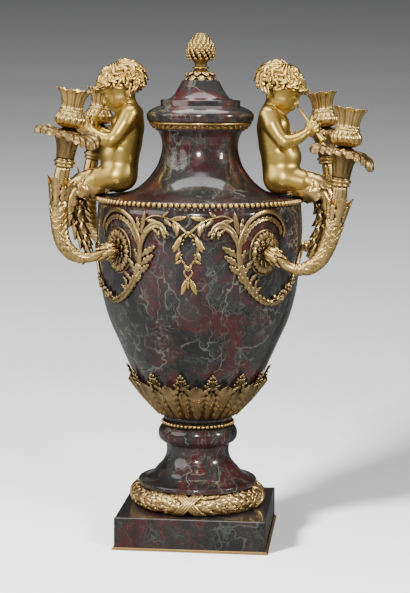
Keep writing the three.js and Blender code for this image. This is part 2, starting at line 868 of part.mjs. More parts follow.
// Figures: a seated child whose thighs turn into a leafy tail. Places are shares of the figure's height,
// measured out from its middle, sideways, and up from the shoulder of the vase.
function figure(name, outward) {
  const unit = FIGURE_HEIGHT;
  const at = (out, across, up) => [
    outward * (FIGURE_REACH + out * unit),
    across * unit,
    bodyTop + CLEARANCE + up * unit,
  ];
  const size = (out, across, up) => [out * unit, across * unit, up * unit];
  const limb = (points, radii, sides = 5) => {
    const pick = (t) => {
      const spot = t * (radii.length - 1);
      const low = Math.min(Math.floor(spot), radii.length - 2);
      return unit * (radii[low] + (spot - low) * (radii[low + 1] - radii[low]));
    };
    const side = new THREE.Vector3(0, 1, 0.01);
    return tube(spline(points.map((p) => at(...p))), radii.length - 1, sides, pick, side);
  };
  const leaf = (from, to, wide) => {
    const path = new THREE.LineCurve3(new THREE.Vector3(...at(...from)), new THREE.Vector3(...at(...to)));
    return tube(path, 2, 3, (t) => unit * wide * [0.5, 1, 0.1][Math.round(2 * t)]);
  };
  const slices = (rows, sides) =>
    skin(
      rows.map(([out, up, deep, wide]) => {
        const ring = [];
        for (let j = 0; j < sides; j++) {
          const around = (j / sides) * TURN;
          ring.push(new THREE.Vector3(...at(out + deep * Math.cos(around), wide * Math.sin(around), up)));
        }
        return ring;
      }),
    );
  const torso = slices(
    [
      [-0.005, 0.02, 0.11, 0.16],
      [-0.005, 0.27, 0.14, 0.15],
      [-0.06, 0.44, 0.108, 0.14],
      [-0.09, 0.57, 0.105, 0.15],
      [-0.09, 0.66, 0.055, 0.08],
    ],
    7,
  );
  const tail = spline([
    at(0.04, 0, 0.09),
    at(0.2, 0, 0.09),
    at(0.3, 0, 0.03),
    at(0.325, 0, -0.09),
    at(0.295, 0, -0.24),
    at(0.245, 0, -0.37),
    at(0.2, 0, -0.46),
  ]);
  const trunk = tube(tail, 7, 6, (t) => [unit * (0.16 - 0.12 * t), unit * (0.085 - 0.055 * t)]);
  const parts = [
    torso,
    trunk,
    limb([[-0.085, 0, 0.6], [-0.04, 0, 0.74]], [0.058, 0.058]),
    ball(at(0.02, 0, 0.755), size(0.12, 0.118, 0.125), 6, 5),
    ball(at(-0.012, 0, 0.83), size(0.172, 0.16, 0.145), 8, 5),
    ball(at(0.12, 0, 0.82), size(0.055, 0.09, 0.045), 4, 3),
  ];
  for (const side of [-1, 1]) {
    parts.push(
      limb(
        [
          [-0.09, side * 0.14, 0.59],
          [0.02, side * 0.2, 0.4],
        ],
        [0.06, 0.046],
      ),
      limb(
        [
          [0.01, side * 0.2, 0.405],
          [0.15, side * 0.16, 0.45],
          [0.235, side * 0.125, 0.55],
        ],
        [0.046, 0.034, 0.024],
      ),
      leaf([0.12, side * 0.12, 0.06], [0.19, side * 0.18, -0.12], 0.045),
      leaf([0.29, side * 0.06, -0.04], [0.29, side * 0.15, -0.24], 0.045),
      leaf([0.27, side * 0.04, -0.24], [0.2, side * 0.11, -0.4], 0.04),
    );
  }

  // Pipes: two straight pipes from the mouth that spread through the hands
  const swell = (t) => PIPE_RADIUS + (PIPE_BELL_RADIUS - PIPE_RADIUS) * Math.max(0, 2 * t - 1);
  const up = new THREE.Vector3(0, 1, 0.2);
  let child = toSolid(join(parts)).subtract(marbleRoom());
  for (const [row, side] of [["front", -1], ["back", 1]]) {
    const path = new THREE.LineCurve3(
      new THREE.Vector3(...at(0.1, side * 0.02, 0.65)),
      new THREE.Vector3(...at(0.29, side * 0.175, 0.41)),
    );
    child = child.subtract(toSolid(tube(path, 2, 5, (t) => swell(t) + 2 * SEAT, up)));
    add(`pipe_${name}_${row}`, tube(path, 2, 5, swell, up), gilt);
  }
  const largest = child.decompose().sort((a, b) => b.volume() - a.volume())[0];
  add(`child_${name}`, toGeometry(largest.simplify(3 * JOIN_FINENESS)), gilt);
}

plinth();
foot();
wreath();
beadRing(
  "foot_beads",
  COLLAR_RADIUS + COLLAR_BEAD_SIZE / 2 + SEAT,
  torusTop + COLLAR_BEAD_SIZE / 2 + SEAT,
  COLLAR_BEAD_SIZE,
  COLLAR_BEADS,
);
body();
leafCup();
beadRing(
  "shoulder_beads",
  ledgeRadius + SHOULDER_BEAD_SIZE / 2 + SEAT,
  bodyTop - SHOULDER_BEAD_SIZE / 2,
  SHOULDER_BEAD_SIZE,
  SHOULDER_BEADS,
);
neck();
frieze();
lid();
finial();
for (const [row, facing] of [["front", 0], ["back", 180]]) {
  pendant(`pendant_${row}`, facing);
  for (const [hand, outward] of [["left", -1], ["right", 1]]) {
    const side = facing ? -outward : outward;
    scrollMount(`scroll_${row}_${hand}`, facing, side);
    rosette(`rosette_${row}_${hand}`, facing, side);
    branch(`${row}_${hand}`, facing, side);
  }
}
figure("left", -1);
figure("right", 1);

export default vase;
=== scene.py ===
"""Looks of a covered marble vase with gilt-bronze mounts, laid out as a Blender add-on.

Sizes are in millimetres until a mesh is made. +Z is up, the front faces -Y, and the origin is the middle of
the plinth's underside. Angles on the body are in degrees from the front towards +X.
"""

import math

import bpy
import numpy as np
from bpy.props import FloatProperty, FloatVectorProperty, IntProperty, PointerProperty
from mathutils import Matrix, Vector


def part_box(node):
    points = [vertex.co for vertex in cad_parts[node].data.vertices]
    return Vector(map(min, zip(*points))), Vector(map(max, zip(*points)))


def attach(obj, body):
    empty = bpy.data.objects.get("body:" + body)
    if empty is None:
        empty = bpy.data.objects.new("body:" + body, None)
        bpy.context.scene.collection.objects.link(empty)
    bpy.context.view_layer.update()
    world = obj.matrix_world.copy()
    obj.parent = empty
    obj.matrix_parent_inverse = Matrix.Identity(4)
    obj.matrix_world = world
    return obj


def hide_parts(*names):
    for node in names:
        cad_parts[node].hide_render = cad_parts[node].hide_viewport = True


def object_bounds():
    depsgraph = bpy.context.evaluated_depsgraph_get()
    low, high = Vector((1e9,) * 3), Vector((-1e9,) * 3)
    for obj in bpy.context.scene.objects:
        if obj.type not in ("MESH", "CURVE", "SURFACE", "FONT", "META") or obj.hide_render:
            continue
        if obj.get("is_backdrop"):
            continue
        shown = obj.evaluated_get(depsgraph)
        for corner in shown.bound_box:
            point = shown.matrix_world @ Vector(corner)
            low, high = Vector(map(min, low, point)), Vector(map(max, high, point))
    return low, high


bl_info = {
    "name": "Marble lidded vase",
    "version": (1, 0, 0),
    "blender": (4, 5, 0),
    "location": "3D View > Sidebar > Vase",
    "description": "Builds a covered marble vase with gilt mounts and candle branches round its packed model",
    "category": "Add Mesh",
}

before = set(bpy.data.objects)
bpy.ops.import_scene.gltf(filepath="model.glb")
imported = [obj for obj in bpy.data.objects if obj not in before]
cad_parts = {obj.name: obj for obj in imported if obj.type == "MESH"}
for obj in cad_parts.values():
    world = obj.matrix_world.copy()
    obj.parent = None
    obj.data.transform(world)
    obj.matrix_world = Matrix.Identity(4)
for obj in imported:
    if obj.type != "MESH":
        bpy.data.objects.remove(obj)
cad_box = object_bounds()

MM = 0.001
TURN = 2 * math.pi
WELDS_PER_MM = 500


# Lines and smooth steps


def smooth_line(points, steps=8):
    """A Catmull-Rom curve through the points, with this many steps between each two."""
    p = np.asarray(points, float)
    p = np.vstack([2 * p[0] - p[1], p, 2 * p[-1] - p[-2]])
    t = np.arange(steps)[:, None] / steps
    out = []
    for a, b, c, d in zip(p[:-3], p[1:-2], p[2:-1], p[3:]):
        bend = (2 * a - 5 * b + 4 * c - d) * t**2 + (3 * b - 3 * c + d - a) * t**3
        out.append(0.5 * (2 * b + (c - a) * t + bend))
    out.append(p[-2][None])
    return np.vstack(out)


def even_line(points, count):
    """The same line with its points spread evenly along it."""
    run = np.concatenate([[0], np.cumsum(np.linalg.norm(np.diff(points, axis=0), axis=1))])
    at = np.linspace(0, run[-1], count)
    return np.column_stack([np.interp(at, run, points[:, k]) for k in range(points.shape[1])])


def unit(v):
    return v / np.maximum(np.linalg.norm(v, axis=-1, keepdims=True), 1e-9)


def ramp(x, low, high):
    """0 below low, 1 above high, and smooth between."""
    t = np.clip((x - low) / (high - low), 0, 1)
    return t * t * (3 - 2 * t)


def bump(x, middle, width):
    return np.exp(-(((x - middle) / width) ** 2))


# Casting: points and faces of one piece, gathered before its mesh is made


class Cast:
    """The shells of one piece. A shell's kind says which of the piece's finishes it has."""

    def __init__(self):
        self.points, self.quads, self.kinds, self.count = [], [], [], 0

    def shell(self, sheets, kind=0, wraps=(False, False)):
        """One closed body from sheets of points[u, v] that meet along their edges, facing outwards."""
        points, quads, base = [], [], 0
        for sheet in sheets:
            rows, columns = sheet.shape[:2]
            index = np.arange(rows * columns).reshape(rows, columns) + base
            if wraps[0]:
                index = np.vstack([index, index[:1]])
            if wraps[1]:
                index = np.hstack([index, index[:, :1]])
            quads.append(
                np.stack([index[:-1, :-1], index[1:, :-1], index[1:, 1:], index[:-1, 1:]], -1).reshape(-1, 4)
            )
            points.append(sheet.reshape(-1, 3))
            base += rows * columns
        self.add(np.vstack(points), np.vstack(quads), kind)

    def add(self, points, quads, kind=0):
        middle = points.mean(axis=0)
        a, b, c, d = (points[quads[:, k]] - middle for k in range(4))
        volume = np.einsum(
            "ij,ij->i", a, np.cross(b, c)
        ).sum() + np.einsum("ij,ij->i", a, np.cross(c, d)).sum()
        if volume < 0:
            quads = quads[:, ::-1]
        self.points.append(points)
        self.quads.append(quads + self.count)
        self.kinds.append(np.full(len(quads), kind))
        self.count += len(points)

    def mirrored(self):
        """The same piece seen in a mirror that swaps left and right."""
        other = Cast()
        other.points = [p * [-1, 1, 1] for p in self.points]
        other.quads = [q[:, ::-1] for q in self.quads]
        other.kinds, other.count = list(self.kinds), self.count
        return other

    def moved(self, turn):
        """The same piece after turn(points)."""
        other = Cast()
        other.points = [turn(p) for p in self.points]
        other.quads, other.kinds, other.count = list(self.quads), list(self.kinds), self.count
        return other

    def trim(self, low, high, radius):
        """Pulls points back into a round space between two heights."""
        for block in self.points:
            block[:, 2] = np.clip(block[:, 2], low, high)
            reach = np.maximum(np.hypot(block[:, 0], block[:, 1]), 1e-6)
            block[:, :2] *= np.minimum(1, radius / reach)[:, None]

    def mesh(self, name, smooth):
        """The mesh, with coincident points welded, and a triangle where two corners of a quad meet."""
        points, quads, kinds = np.vstack(self.points), np.vstack(self.quads), np.concatenate(self.kinds)
        spots = np.round(points * WELDS_PER_MM).astype(np.int64)
        _, first, back = np.unique(spots, axis=0, return_index=True, return_inverse=True)
        points, quads = points[first], back.reshape(-1)[quads]
        same = quads == np.roll(quads, -1, axis=1)
        repeats = same.sum(axis=1)
        whole = (repeats == 0) & (quads[:, 0] != quads[:, 2]) & (quads[:, 1] != quads[:, 3])
        corner = repeats == 1
        fours, threes = quads[whole], quads[corner][~same[corner]].reshape(-1, 3)
        made = bpy.data.meshes.new(name)
        made.vertices.add(len(points))
        made.vertices.foreach_set("co", (points * MM).astype(np.float32).ravel())
        corners = np.concatenate([fours.ravel(), threes.ravel()]).astype(np.int32)
        made.loops.add(len(corners))
        made.loops.foreach_set("vertex_index", corners)
        starts = np.concatenate([np.arange(len(fours)) * 4, len(fours) * 4 + np.arange(len(threes)) * 3])
        made.polygons.add(len(starts))
        made.polygons.foreach_set("loop_start", starts.astype(np.int32))
        finish = np.concatenate([kinds[whole], kinds[corner]]).astype(np.int32)
        made.polygons.foreach_set("material_index", finish)
        made.polygons.foreach_set("use_smooth", np.full(len(starts), smooth))
        made.update(calc_edges=True)
        made.validate()
        return made

    def piece(self, name, finishes, replaces=(), slot="gilt", smooth=True):
        """Makes the object, rides it on the vase and hides the nodes it replaces."""
        missing = [finish for finish in finishes if finish not in bpy.data.materials]
        if missing or not self.points:
            raise RuntimeError(f"{name} can't be made: finishes missing {missing}, shells {len(self.points)}")
        mesh = self.mesh(name, smooth)
        for finish in finishes:
            mesh.materials.append(bpy.data.materials[finish])
        made = bpy.data.objects.new(name, mesh)
        bpy.context.scene.collection.objects.link(made)
        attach(made, "root")
        if replaces:
            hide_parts(*replaces)
        return made


def outward(angle):
    """The level direction at this angle, in radians from +X."""
    return np.array([math.cos(angle), math.sin(angle), 0])


def half_turn(p):
    """Points turned to the other side of the vase."""
    return p * [-1, -1, 1]


def round_sheet(radius, angle, height):
    """Points at a radius, an angle about Z in radians, and a height."""
    return np.stack(np.broadcast_arrays(radius * np.cos(angle), radius * np.sin(angle), height), -1)


def turned(cast, profile, sides, kind=0):
    """A body turned about Z from points of radius and height."""
    profile = np.asarray(profile, float)
    angle = np.arange(sides) / sides * TURN
    cast.shell([round_sheet(profile[:, :1], angle, profile[:, 1:])], kind, (False, True))


def beads(cast, places, radii, around=8):
    """Small balls at these places, with one radius or one for each."""
    rise = np.linspace(0, math.pi, around // 2 + 2)[:, None]
    angle = np.arange(around)[None, :] / around * TURN
    ball = round_sheet(np.sin(rise), angle, np.cos(rise))
    for place, radius in zip(places, np.broadcast_to(radii, len(places))):
        cast.shell([ball * radius + place], 0, (False, True))


def bead_row(cast, count, radius, level, size, around, strip, sides):
    """Beads round the vase, and behind them a thin strip: strip is its depth, lower edge and upper edge."""
    angle = np.arange(count) / count * TURN
    beads(cast, round_sheet(radius, angle, level), size, around)
    deep, low, high = strip
    back, front = radius - deep, radius - 0.8
    # The strip takes the piece's second gilding, darkened to paint the shade behind the beads.
    turned(cast, [(back, low), (front, low), (front, high), (back, high), (back, low)], sides, 1)


class Path:
    """A smooth line in space with a frame that turns with it."""

    def __init__(self, points, count=160, side=(0, 1, 0)):
        self.points = even_line(smooth_line(points), count)
        self.along = unit(np.gradient(self.points, axis=0))
        self.side = np.zeros_like(self.points)
        last = np.asarray(side, float)
        for i, along in enumerate(self.along):
            last = unit(last - along * (last @ along))
            self.side[i] = last
        self.above = np.cross(self.side, self.along)
        self.length = np.linalg.norm(np.diff(self.points, axis=0), axis=1).sum()

    def at(self, share, angle, radius):
        """Points beside the line: share runs 0 to 1, angle is in radians from the side towards above."""
        spot = np.clip(share, 0, 1) * (len(self.points) - 1)
        low = np.minimum(spot.astype(int), len(self.points) - 2)
        part = (spot - low)[..., None]
        mix = lambda rows: rows[low] * (1 - part) + rows[low + 1] * part
        beyond = (np.maximum(share - 1, 0) + np.minimum(share, 0))[..., None] * self.length
        out = np.cos(angle)[..., None] * mix(self.side) + np.sin(angle)[..., None] * mix(self.above)
        return mix(self.points) + beyond * mix(self.along) + out * radius[..., None]


def tube(cast, path, radius, around, kind=0, steps=None):
    """A closed tube along a path: radius(share, angle) is in millimetres."""
    steps = steps or len(path.points)
    share = np.linspace(0, 1, steps)[:, None]
    angle = np.arange(around)[None, :] / around * TURN
    share, angle = np.broadcast_arrays(share, angle)
    size = radius(share, angle) * np.ones_like(share)
    sheet = path.at(share, angle, size)
    ends = [np.repeat(sheet[k].mean(axis=0)[None, None], around, axis=1) for k in (0, -1)]
    cast.shell([np.concatenate([ends[0], sheet, ends[1]])], kind, (False, True))


def leaf(
    length, width, lobes=0, depth=0.4, rise=1.5, thick=0.7, curl=0.0, cup=0.0, fine=(
        22, 9
    ), full=0.45, root=0.4, veins=0
):
    """The upper and under sheets of a leaf along +Y. Lobes cut its edge and ridge its face, curl turns its
    tip up in radians, cup lifts its edges, full says where it is widest, root is its width at the stalk, and
    veins folds its face lengthwise."""
    u = np.linspace(0, 1, fine[0])[:, None]
    v = np.linspace(-1, 1, fine[1])[None, :]
    side = np.abs(v)
    spots, widths = [
        0, 0.5 * full, full, 0.5 + 0.5 * full, 0.93, 1
    ], [root, 0.5 + 0.5 * root, 1, 0.72, 0.26, 0]
    outline = np.interp(u, spots, widths)
    along = length * u + 0 * v
    ridge = 0
    if lobes:
        tooth = np.abs(np.sin(math.pi * lobes * u)) ** 0.7
        outline = outline * (1 - depth * (1 - tooth))
        along = along + side**1.4 * 0.35 * length / lobes * np.sin(math.pi * np.clip(u, 0, 1)) ** 0.5
        ridge = 0 if veins else rise * (tooth - 0.6) * side
    crown = rise * (1 - side**2) * np.sin(math.pi * np.clip(u * 0.9 + 0.08, 0, 1))
    groove = -0.45 * rise * np.exp(-((v / 0.16) ** 2)) * (1 - u)
    face = crown + ridge + groove + cup * side**2
    if veins:
        face = face + 0.7 * rise * (np.abs(np.cos(math.pi * veins * v * (0.6 + 0.4 * u))) ** 0.7 - 0.6)
    body = thick * np.sqrt(np.maximum(1 - v**2, 0)) * np.minimum(1, 6 * (1 - u)) * np.minimum(1, 8 * u)
    angle = curl * np.clip(u, 0, 1) ** 2
    step = length / (fine[0] - 1)
    run = np.concatenate([[[0]], np.cumsum(np.cos(angle[1:]) * step, axis=0)])
    climb = np.concatenate([[[0]], np.cumsum(np.sin(angle[1:]) * step, axis=0)])
    ahead = along - length * u
    across = v * outline * width / 2
    sheets = []
    for sign in (1, -1):
        z = face + sign * body
        ahead_now = run + ahead * np.cos(angle) - z * np.sin(angle)
        up_now = climb + ahead * np.sin(angle) + z * np.cos(angle)
        sheets.append(np.stack([across + 0 * z, ahead_now, up_now], -1))
    sheets[1] = sheets[1][:, ::-1]
    return sheets


def set_leaf(cast, sheets, place):
    """Puts a leaf where place(points) says."""
    cast.shell([place(s) for s in sheets])


def path_place(path, core, share, turn, aim, lift, slack, swell=0.0):
    """A place for leaves on a limb of radius core(share) round a path, from this share and angle. Slack
    flattens wide leaves on a thin limb, and swell lifts them at the limb's two sides."""
    c, s = math.cos(aim), math.sin(aim)

    def place(p):
        x, y = p[..., 0] * c + p[..., 1] * s, p[..., 1] * c - p[..., 0] * s
        where = share + y / path.length
        base = core(np.clip(where, 0, 1))
        angle = turn + x / (base + slack)
        return path.at(where, angle, base * (1 + swell * np.abs(np.cos(angle))) + p[..., 2] + lift)

    return place


def stand(origin, along, up):
    """A place for leaves at a point, aimed along one direction with their faces towards another."""
    along = unit(np.asarray(along, float))
    up = np.asarray(up, float)
    up = unit(up - along * (up @ along))
    across = np.cross(along, up)
    axes = np.stack([across, along, up])
    return lambda p: np.asarray(origin, float) + p @ axes


# Levels and outlines that pieces share

PLINTH_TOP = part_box("plinth")[1][2] / MM
BODY_FLOOR, BODY_TOP = (corner[2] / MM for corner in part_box("body"))
BODY_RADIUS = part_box("body")[1][0] / MM
NECK_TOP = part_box("neck")[1][2] / MM
LID_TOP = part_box("finial_collar")[0][2] / MM
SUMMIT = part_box("finial_cone")[1][2] / MM
LEDGE, LEDGE_RADIUS = 469.8, 136.7
FOOT_COLLAR = 45.5
ROSETTE_LEVEL, ROSETTE_ANGLE = 410.9, 43

# Radius and height from the body's foot to the ledge under the shoulder
body_line = smooth_line(
    [(49.5, 172.2), (59.7, 182), (79.1, 207.9), (96, 242), (110.9, 275.8)]
    + [(125.5, 309.7), (135, 346.2), (140, 388.3), (142.6, 430.1), (140.3, LEDGE)]
)
body_line[:, 0] = np.minimum(body_line[:, 0], BODY_RADIUS)


def body_radius(level):
    return np.interp(level, body_line[:, 1], body_line[:, 0])


def on_body(angle, level, height=0.0):
    """Points proud of the body by height, square to its surface."""
    angle = np.radians(angle)
    slope = (body_radius(level + 2) - body_radius(level - 2)) / 4
    tilt = 1 / np.sqrt(1 + slope**2)
    radius = body_radius(level) + height * tilt
    return np.stack([radius * np.sin(angle), -radius * np.cos(angle), level - height * tilt * slope], -1)


def body_place(angle, level, aim, lift=0.0):
    """A place for leaves on the body, aimed in degrees from the direction in which angle grows towards up."""
    aim = math.radians(aim)
    per_degree = math.radians(1) * float(body_radius(level))

    def place(p):
        x, y = p[..., 0], p[..., 1]
        z = p[..., 2] + lift
        go = y * math.cos(aim) + x * math.sin(aim)
        climb = y * math.sin(aim) - x * math.cos(aim)
        return on_body(angle + go / per_degree, level + climb, z)

    return place


# Marble and gilding


def node(tree, kind, inputs=None, **settings):
    """A new node: each input is a value or the socket that feeds it."""
    made = tree.nodes.new(kind)
    for key, value in settings.items():
        setattr(made, key, value)
    for key, value in (inputs or {}).items():
        if isinstance(value, bpy.types.NodeSocket):
            tree.links.new(value, made.inputs[key])
        else:
            made.inputs[key].default_value = value
    return made


def group_tree(name, inputs, outputs):
    tree = bpy.data.node_groups.new(name, "ShaderNodeTree")
    for label, kind, value in inputs:
        socket = tree.interface.new_socket(label, in_out="INPUT", socket_type=kind)
        if value is not None:
            socket.default_value = value
    for label, kind in outputs:
        tree.interface.new_socket(label, in_out="OUTPUT", socket_type=kind)
    return tree, tree.nodes.new("NodeGroupInput").outputs, tree.nodes.new("NodeGroupOutput").inputs


def blend_colours(tree, share, a, b, how="MIX"):
    made = node(tree, "ShaderNodeMix", {"Factor": share, 6: a, 7: b}, data_type="RGBA", blend_type=how)
    return made.outputs[2]


def map_values(tree, value, low, high, to_low=0.0, to_high=1.0):
    inputs = {"Value": value, "From Min": low, "From Max": high, "To Min": to_low, "To Max": to_high}
    return node(tree, "ShaderNodeMapRange", inputs, interpolation_type="SMOOTHSTEP").outputs["Result"]


def reckon(tree, how, a, b):
    return node(tree, "ShaderNodeMath", {0: a, 1: b}, operation=how).outputs[0]


# The marble's nets of veins, coarse to fine: cells in a metre, width, strength, and where each breaks off
VEIN_NETS = ((13, 0.022, 0.8, 0.46), (30, 0.036, 0.8, 0.48), (66, 0.055, 0.6, 0.48), (130, 0.08, 0.4, 0.48))
VEIN_DULLNESS = 0.08

# Each marble: share of red patches, strength of the veins, and the part of the block it is cut from
MARBLES = {"Marble": (0.42, 1.0, (0.0, 0.0, 0.0)), "Marble of the plinth": (0.22, 0.5, (0.4, 0.3, 0.2))}
POLISH = {"Coat Weight": 0.9, "Coat Roughness": 0.09, "Specular IOR Level": 0.14}

# Each gilding: roughness where bright and where matte, wear, grain, tint, and in millimetres how near another
# surface has to be for painted shade to darken a hollow. The tints of Gilt shaded and of the pans' gilding
# are lowered to paint the shade on those mounts, and the last gilding, almost black, paints the shade on
# shells that sit under or behind others.
GILDINGS = {
    "Gilt burnished": (0.34, 0.5, 0.25, 0.15, (0.9, 0.91, 0.72), 6),
    "Gilt chased": (0.25, 0.55, 0.38, 0.6, (1.08, 1.08, 1.25), 5),
    "Gilt curls": (0.27, 0.5, 0.35, 0.3, (0.9, 0.88, 0.8), 2.8),
    "Gilt laurel": (0.29, 0.5, 0.12, 0.3, (1.12, 1.12, 1.45), 2),
    "Gilt shaded": (0.24, 0.6, 0.55, 0.6, (0.85, 0.88, 1.25), 7),
    "Gilt painted deep shade": (0.34, 0.6, 0.6, 0.6, (0.44, 0.43, 0.52), 8),
    "Gilt painted recess shade": (0.38, 0.7, 0.7, 0.6, (0.35, 0.35, 0.35), 8),
}
GRAIN_STRENGTH, GRAIN_HEIGHT = 0.35, 0.3


def marble_pattern():
    """Node group: clouds of two grounds, red patches, a broken net of pale veins and a few milky clouds."""
    colour, number, vector = "NodeSocketColor", "NodeSocketFloat", "NodeSocketVector"
    tree, given, result = group_tree(
        "Marble pattern",
        [
            ("Place", vector, None),
            ("Ground", colour, (0.05, 0.05, 0.05, 1)),
            ("Cloud", colour, (0.1, 0.1, 0.1, 1)),
            ("Patch", colour, (0.1, 0.02, 0.02, 1)),
            ("Vein", colour, (0.4, 0.4, 0.35, 1)),
            ("Patches", number, 0.5),
            ("Veins", number, 1.0),
            ("Gloss", number, 0.3),
        ],
        [("Colour", colour), ("Roughness", number)],
    )

    def noise(scale, detail=4, rough=0.55, at=None, bend=0.0):
        inputs = {"Vector": at or given["Place"], "Scale": scale, "Detail": detail, "Roughness": rough}
        return node(tree, "ShaderNodeTexNoise", {**inputs, "Distortion": bend})

    warp = noise(9, 4, 0.6)
    shift = node(
        tree, "ShaderNodeVectorMath", {0: warp.outputs["Color"], 1: (0.5, 0.5, 0.5)}, operation="SUBTRACT"
    )
    push = node(tree, "ShaderNodeVectorMath", {0: shift.outputs[0], "Scale": 0.16}, operation="SCALE")
    bent = node(
        tree, "ShaderNodeVectorMath", {0: given["Place"], 1: push.outputs[0]}, operation="ADD"
    ).outputs[0]
    slant = node(
        tree, "ShaderNodeMapping", {"Vector": bent, "Rotation": (0.25, 0.2, 0.3), "Scale": (1.0, 1.0, 0.6)}
    )
    bent = slant.outputs[0]

    clouds = map_values(tree, noise(24, 9, 0.68, bent, 0.4).outputs["Fac"], 0.34, 0.66)
    base = blend_colours(tree, clouds, given["Ground"], given["Cloud"])
    more = reckon(tree, "MULTIPLY", given["Patches"], 0.2)
    spots = reckon(tree, "ADD", noise(15, 8, 0.66, bent, 0.8).outputs["Fac"], more)
    red = map_values(tree, spots, 0.54, 0.68)
    broken = map_values(tree, noise(60, 6, 0.7, bent).outputs["Fac"], 0.3, 0.55, 0.35, 1.0)
    base = blend_colours(tree, reckon(tree, "MULTIPLY", red, broken), base, given["Patch"])
    deep = map_values(tree, noise(34, 5, 0.6, bent).outputs["Fac"], 0.42, 0.72)
    base = blend_colours(tree, reckon(tree, "MULTIPLY", deep, 0.65), base, given["Ground"])

    mask = None
    for scale, wide, strength, cut in VEIN_NETS:
        inputs = {"Vector": bent, "Scale": scale, "Randomness": 1.0}
        cells = node(tree, "ShaderNodeTexVoronoi", inputs, feature="DISTANCE_TO_EDGE")
        line = map_values(tree, cells.outputs["Distance"], 0.0, wide, 1.0, 0.0)
        broken = map_values(tree, noise(8 + scale * 0.3, 4, 0.6, bent).outputs["Fac"], cut, cut + 0.18)
        line = reckon(tree, "MULTIPLY", reckon(tree, "MULTIPLY", line, broken), strength)
        mask = line if mask is None else reckon(tree, "MAXIMUM", mask, line)
    milk = map_values(tree, noise(20, 9, 0.75, bent, 1.2).outputs["Fac"], 0.58, 0.76, 0.0, 0.28)
    mask = reckon(tree, "MULTIPLY", reckon(tree, "MAXIMUM", mask, milk), given["Veins"])
    mask = reckon(tree, "MINIMUM", mask, 1.0)
    tree.links.new(blend_colours(tree, mask, base, given["Vein"]), result["Colour"])
    rough = map_values(tree, mask, 0, 1, given["Gloss"], reckon(tree, "ADD", given["Gloss"], VEIN_DULLNESS))
    tree.links.new(rough, result["Roughness"])
    return tree


def gilding_pattern():
    """Node group: gold with painted shade in its hollows, where ambient occlusion finds little open air, and
    browned by wear along a slow mottle and in specks, with a chased grain.
    """
    colour, number, vector = "NodeSocketColor", "NodeSocketFloat", "NodeSocketVector"
    tree, given, result = group_tree(
        "Gilding pattern",
        [
            ("Place", vector, None),
            ("Open", number, 1.0),
            ("Gold", colour, (0.8, 0.55, 0.25, 1)),
            ("Shade and wear", colour, (0.1, 0.05, 0.02, 1)),
            ("Wear", number, 0.3),
            ("Matte", number, 0.4),
            ("Bright", number, 0.2),
            ("Grain", number, 0.3),
        ],
        [("Colour", colour), ("Roughness", number), ("Height", number)],
    )

    def noise(scale, detail=4, rough=0.6):
        inputs = {"Vector": given["Place"], "Scale": scale, "Detail": detail, "Roughness": rough}
        return node(tree, "ShaderNodeTexNoise", inputs).outputs["Fac"]

    mottle = map_values(tree, noise(38), 0.35, 0.7)
    specks = map_values(tree, noise(190, 5, 0.7), 0.5, 0.68)
    mottle = reckon(tree, "MAXIMUM", mottle, specks)
    fine = noise(420, 3)
    # Painted shade: the gold darkens towards the shade colour where ambient occlusion finds a hollow.
    hollow = map_values(tree, given["Open"], 0.96, 0.4)
    # Wear: a slow mottle and specks brown it too, as the gilding's own colour.
    dull = reckon(tree, "MULTIPLY", mottle, given["Wear"])
    # Each spot takes the stronger of the painted shade and the wear.
    shade_and_wear = reckon(tree, "MINIMUM", reckon(tree, "MAXIMUM", hollow, dull), 1.0)
    tree.links.new(blend_colours(tree, shade_and_wear, given["Gold"], given["Shade and wear"]), result["Colour"])
    inputs = {"Factor": reckon(tree, "MAXIMUM", shade_and_wear, 0.0), 2: given["Bright"], 3: given["Matte"]}
    rough = node(tree, "ShaderNodeMix", inputs, data_type="FLOAT")
    tree.links.new(rough.outputs[0], result["Roughness"])
    tree.links.new(reckon(tree, "MULTIPLY", fine, given["Grain"]), result["Height"])
    return tree


def new_material(name):
    made = bpy.data.materials.new(name)
    made.use_nodes = True
    tree = made.node_tree
    shader = tree.nodes["Principled BSDF"]
    place = tree.nodes.new("ShaderNodeTexCoord").outputs["Object"]
    return tree, shader, place


def marble_material(name, patches, veins, offset):
    tree, shader, place = new_material(name)
    shifted = node(tree, "ShaderNodeVectorMath", {0: place, 1: offset}, operation="ADD").outputs[0]
    inputs = {
        "Place": shifted,
        "Ground": (*looks().marble_ground, 1),
        "Cloud": (*looks().marble_cloud, 1),
        "Patch": (*looks().marble_patch, 1),
        "Vein": (*looks().marble_vein, 1),
        "Patches": patches,
        "Veins": veins,
        "Gloss": looks().marble_gloss,
    }
    pattern = node(tree, "ShaderNodeGroup", inputs, node_tree=bpy.data.node_groups["Marble pattern"])
    tree.links.new(pattern.outputs["Colour"], shader.inputs["Base Color"])
    tree.links.new(pattern.outputs["Roughness"], shader.inputs["Roughness"])
    for key, value in POLISH.items():
        shader.inputs[key].default_value = value


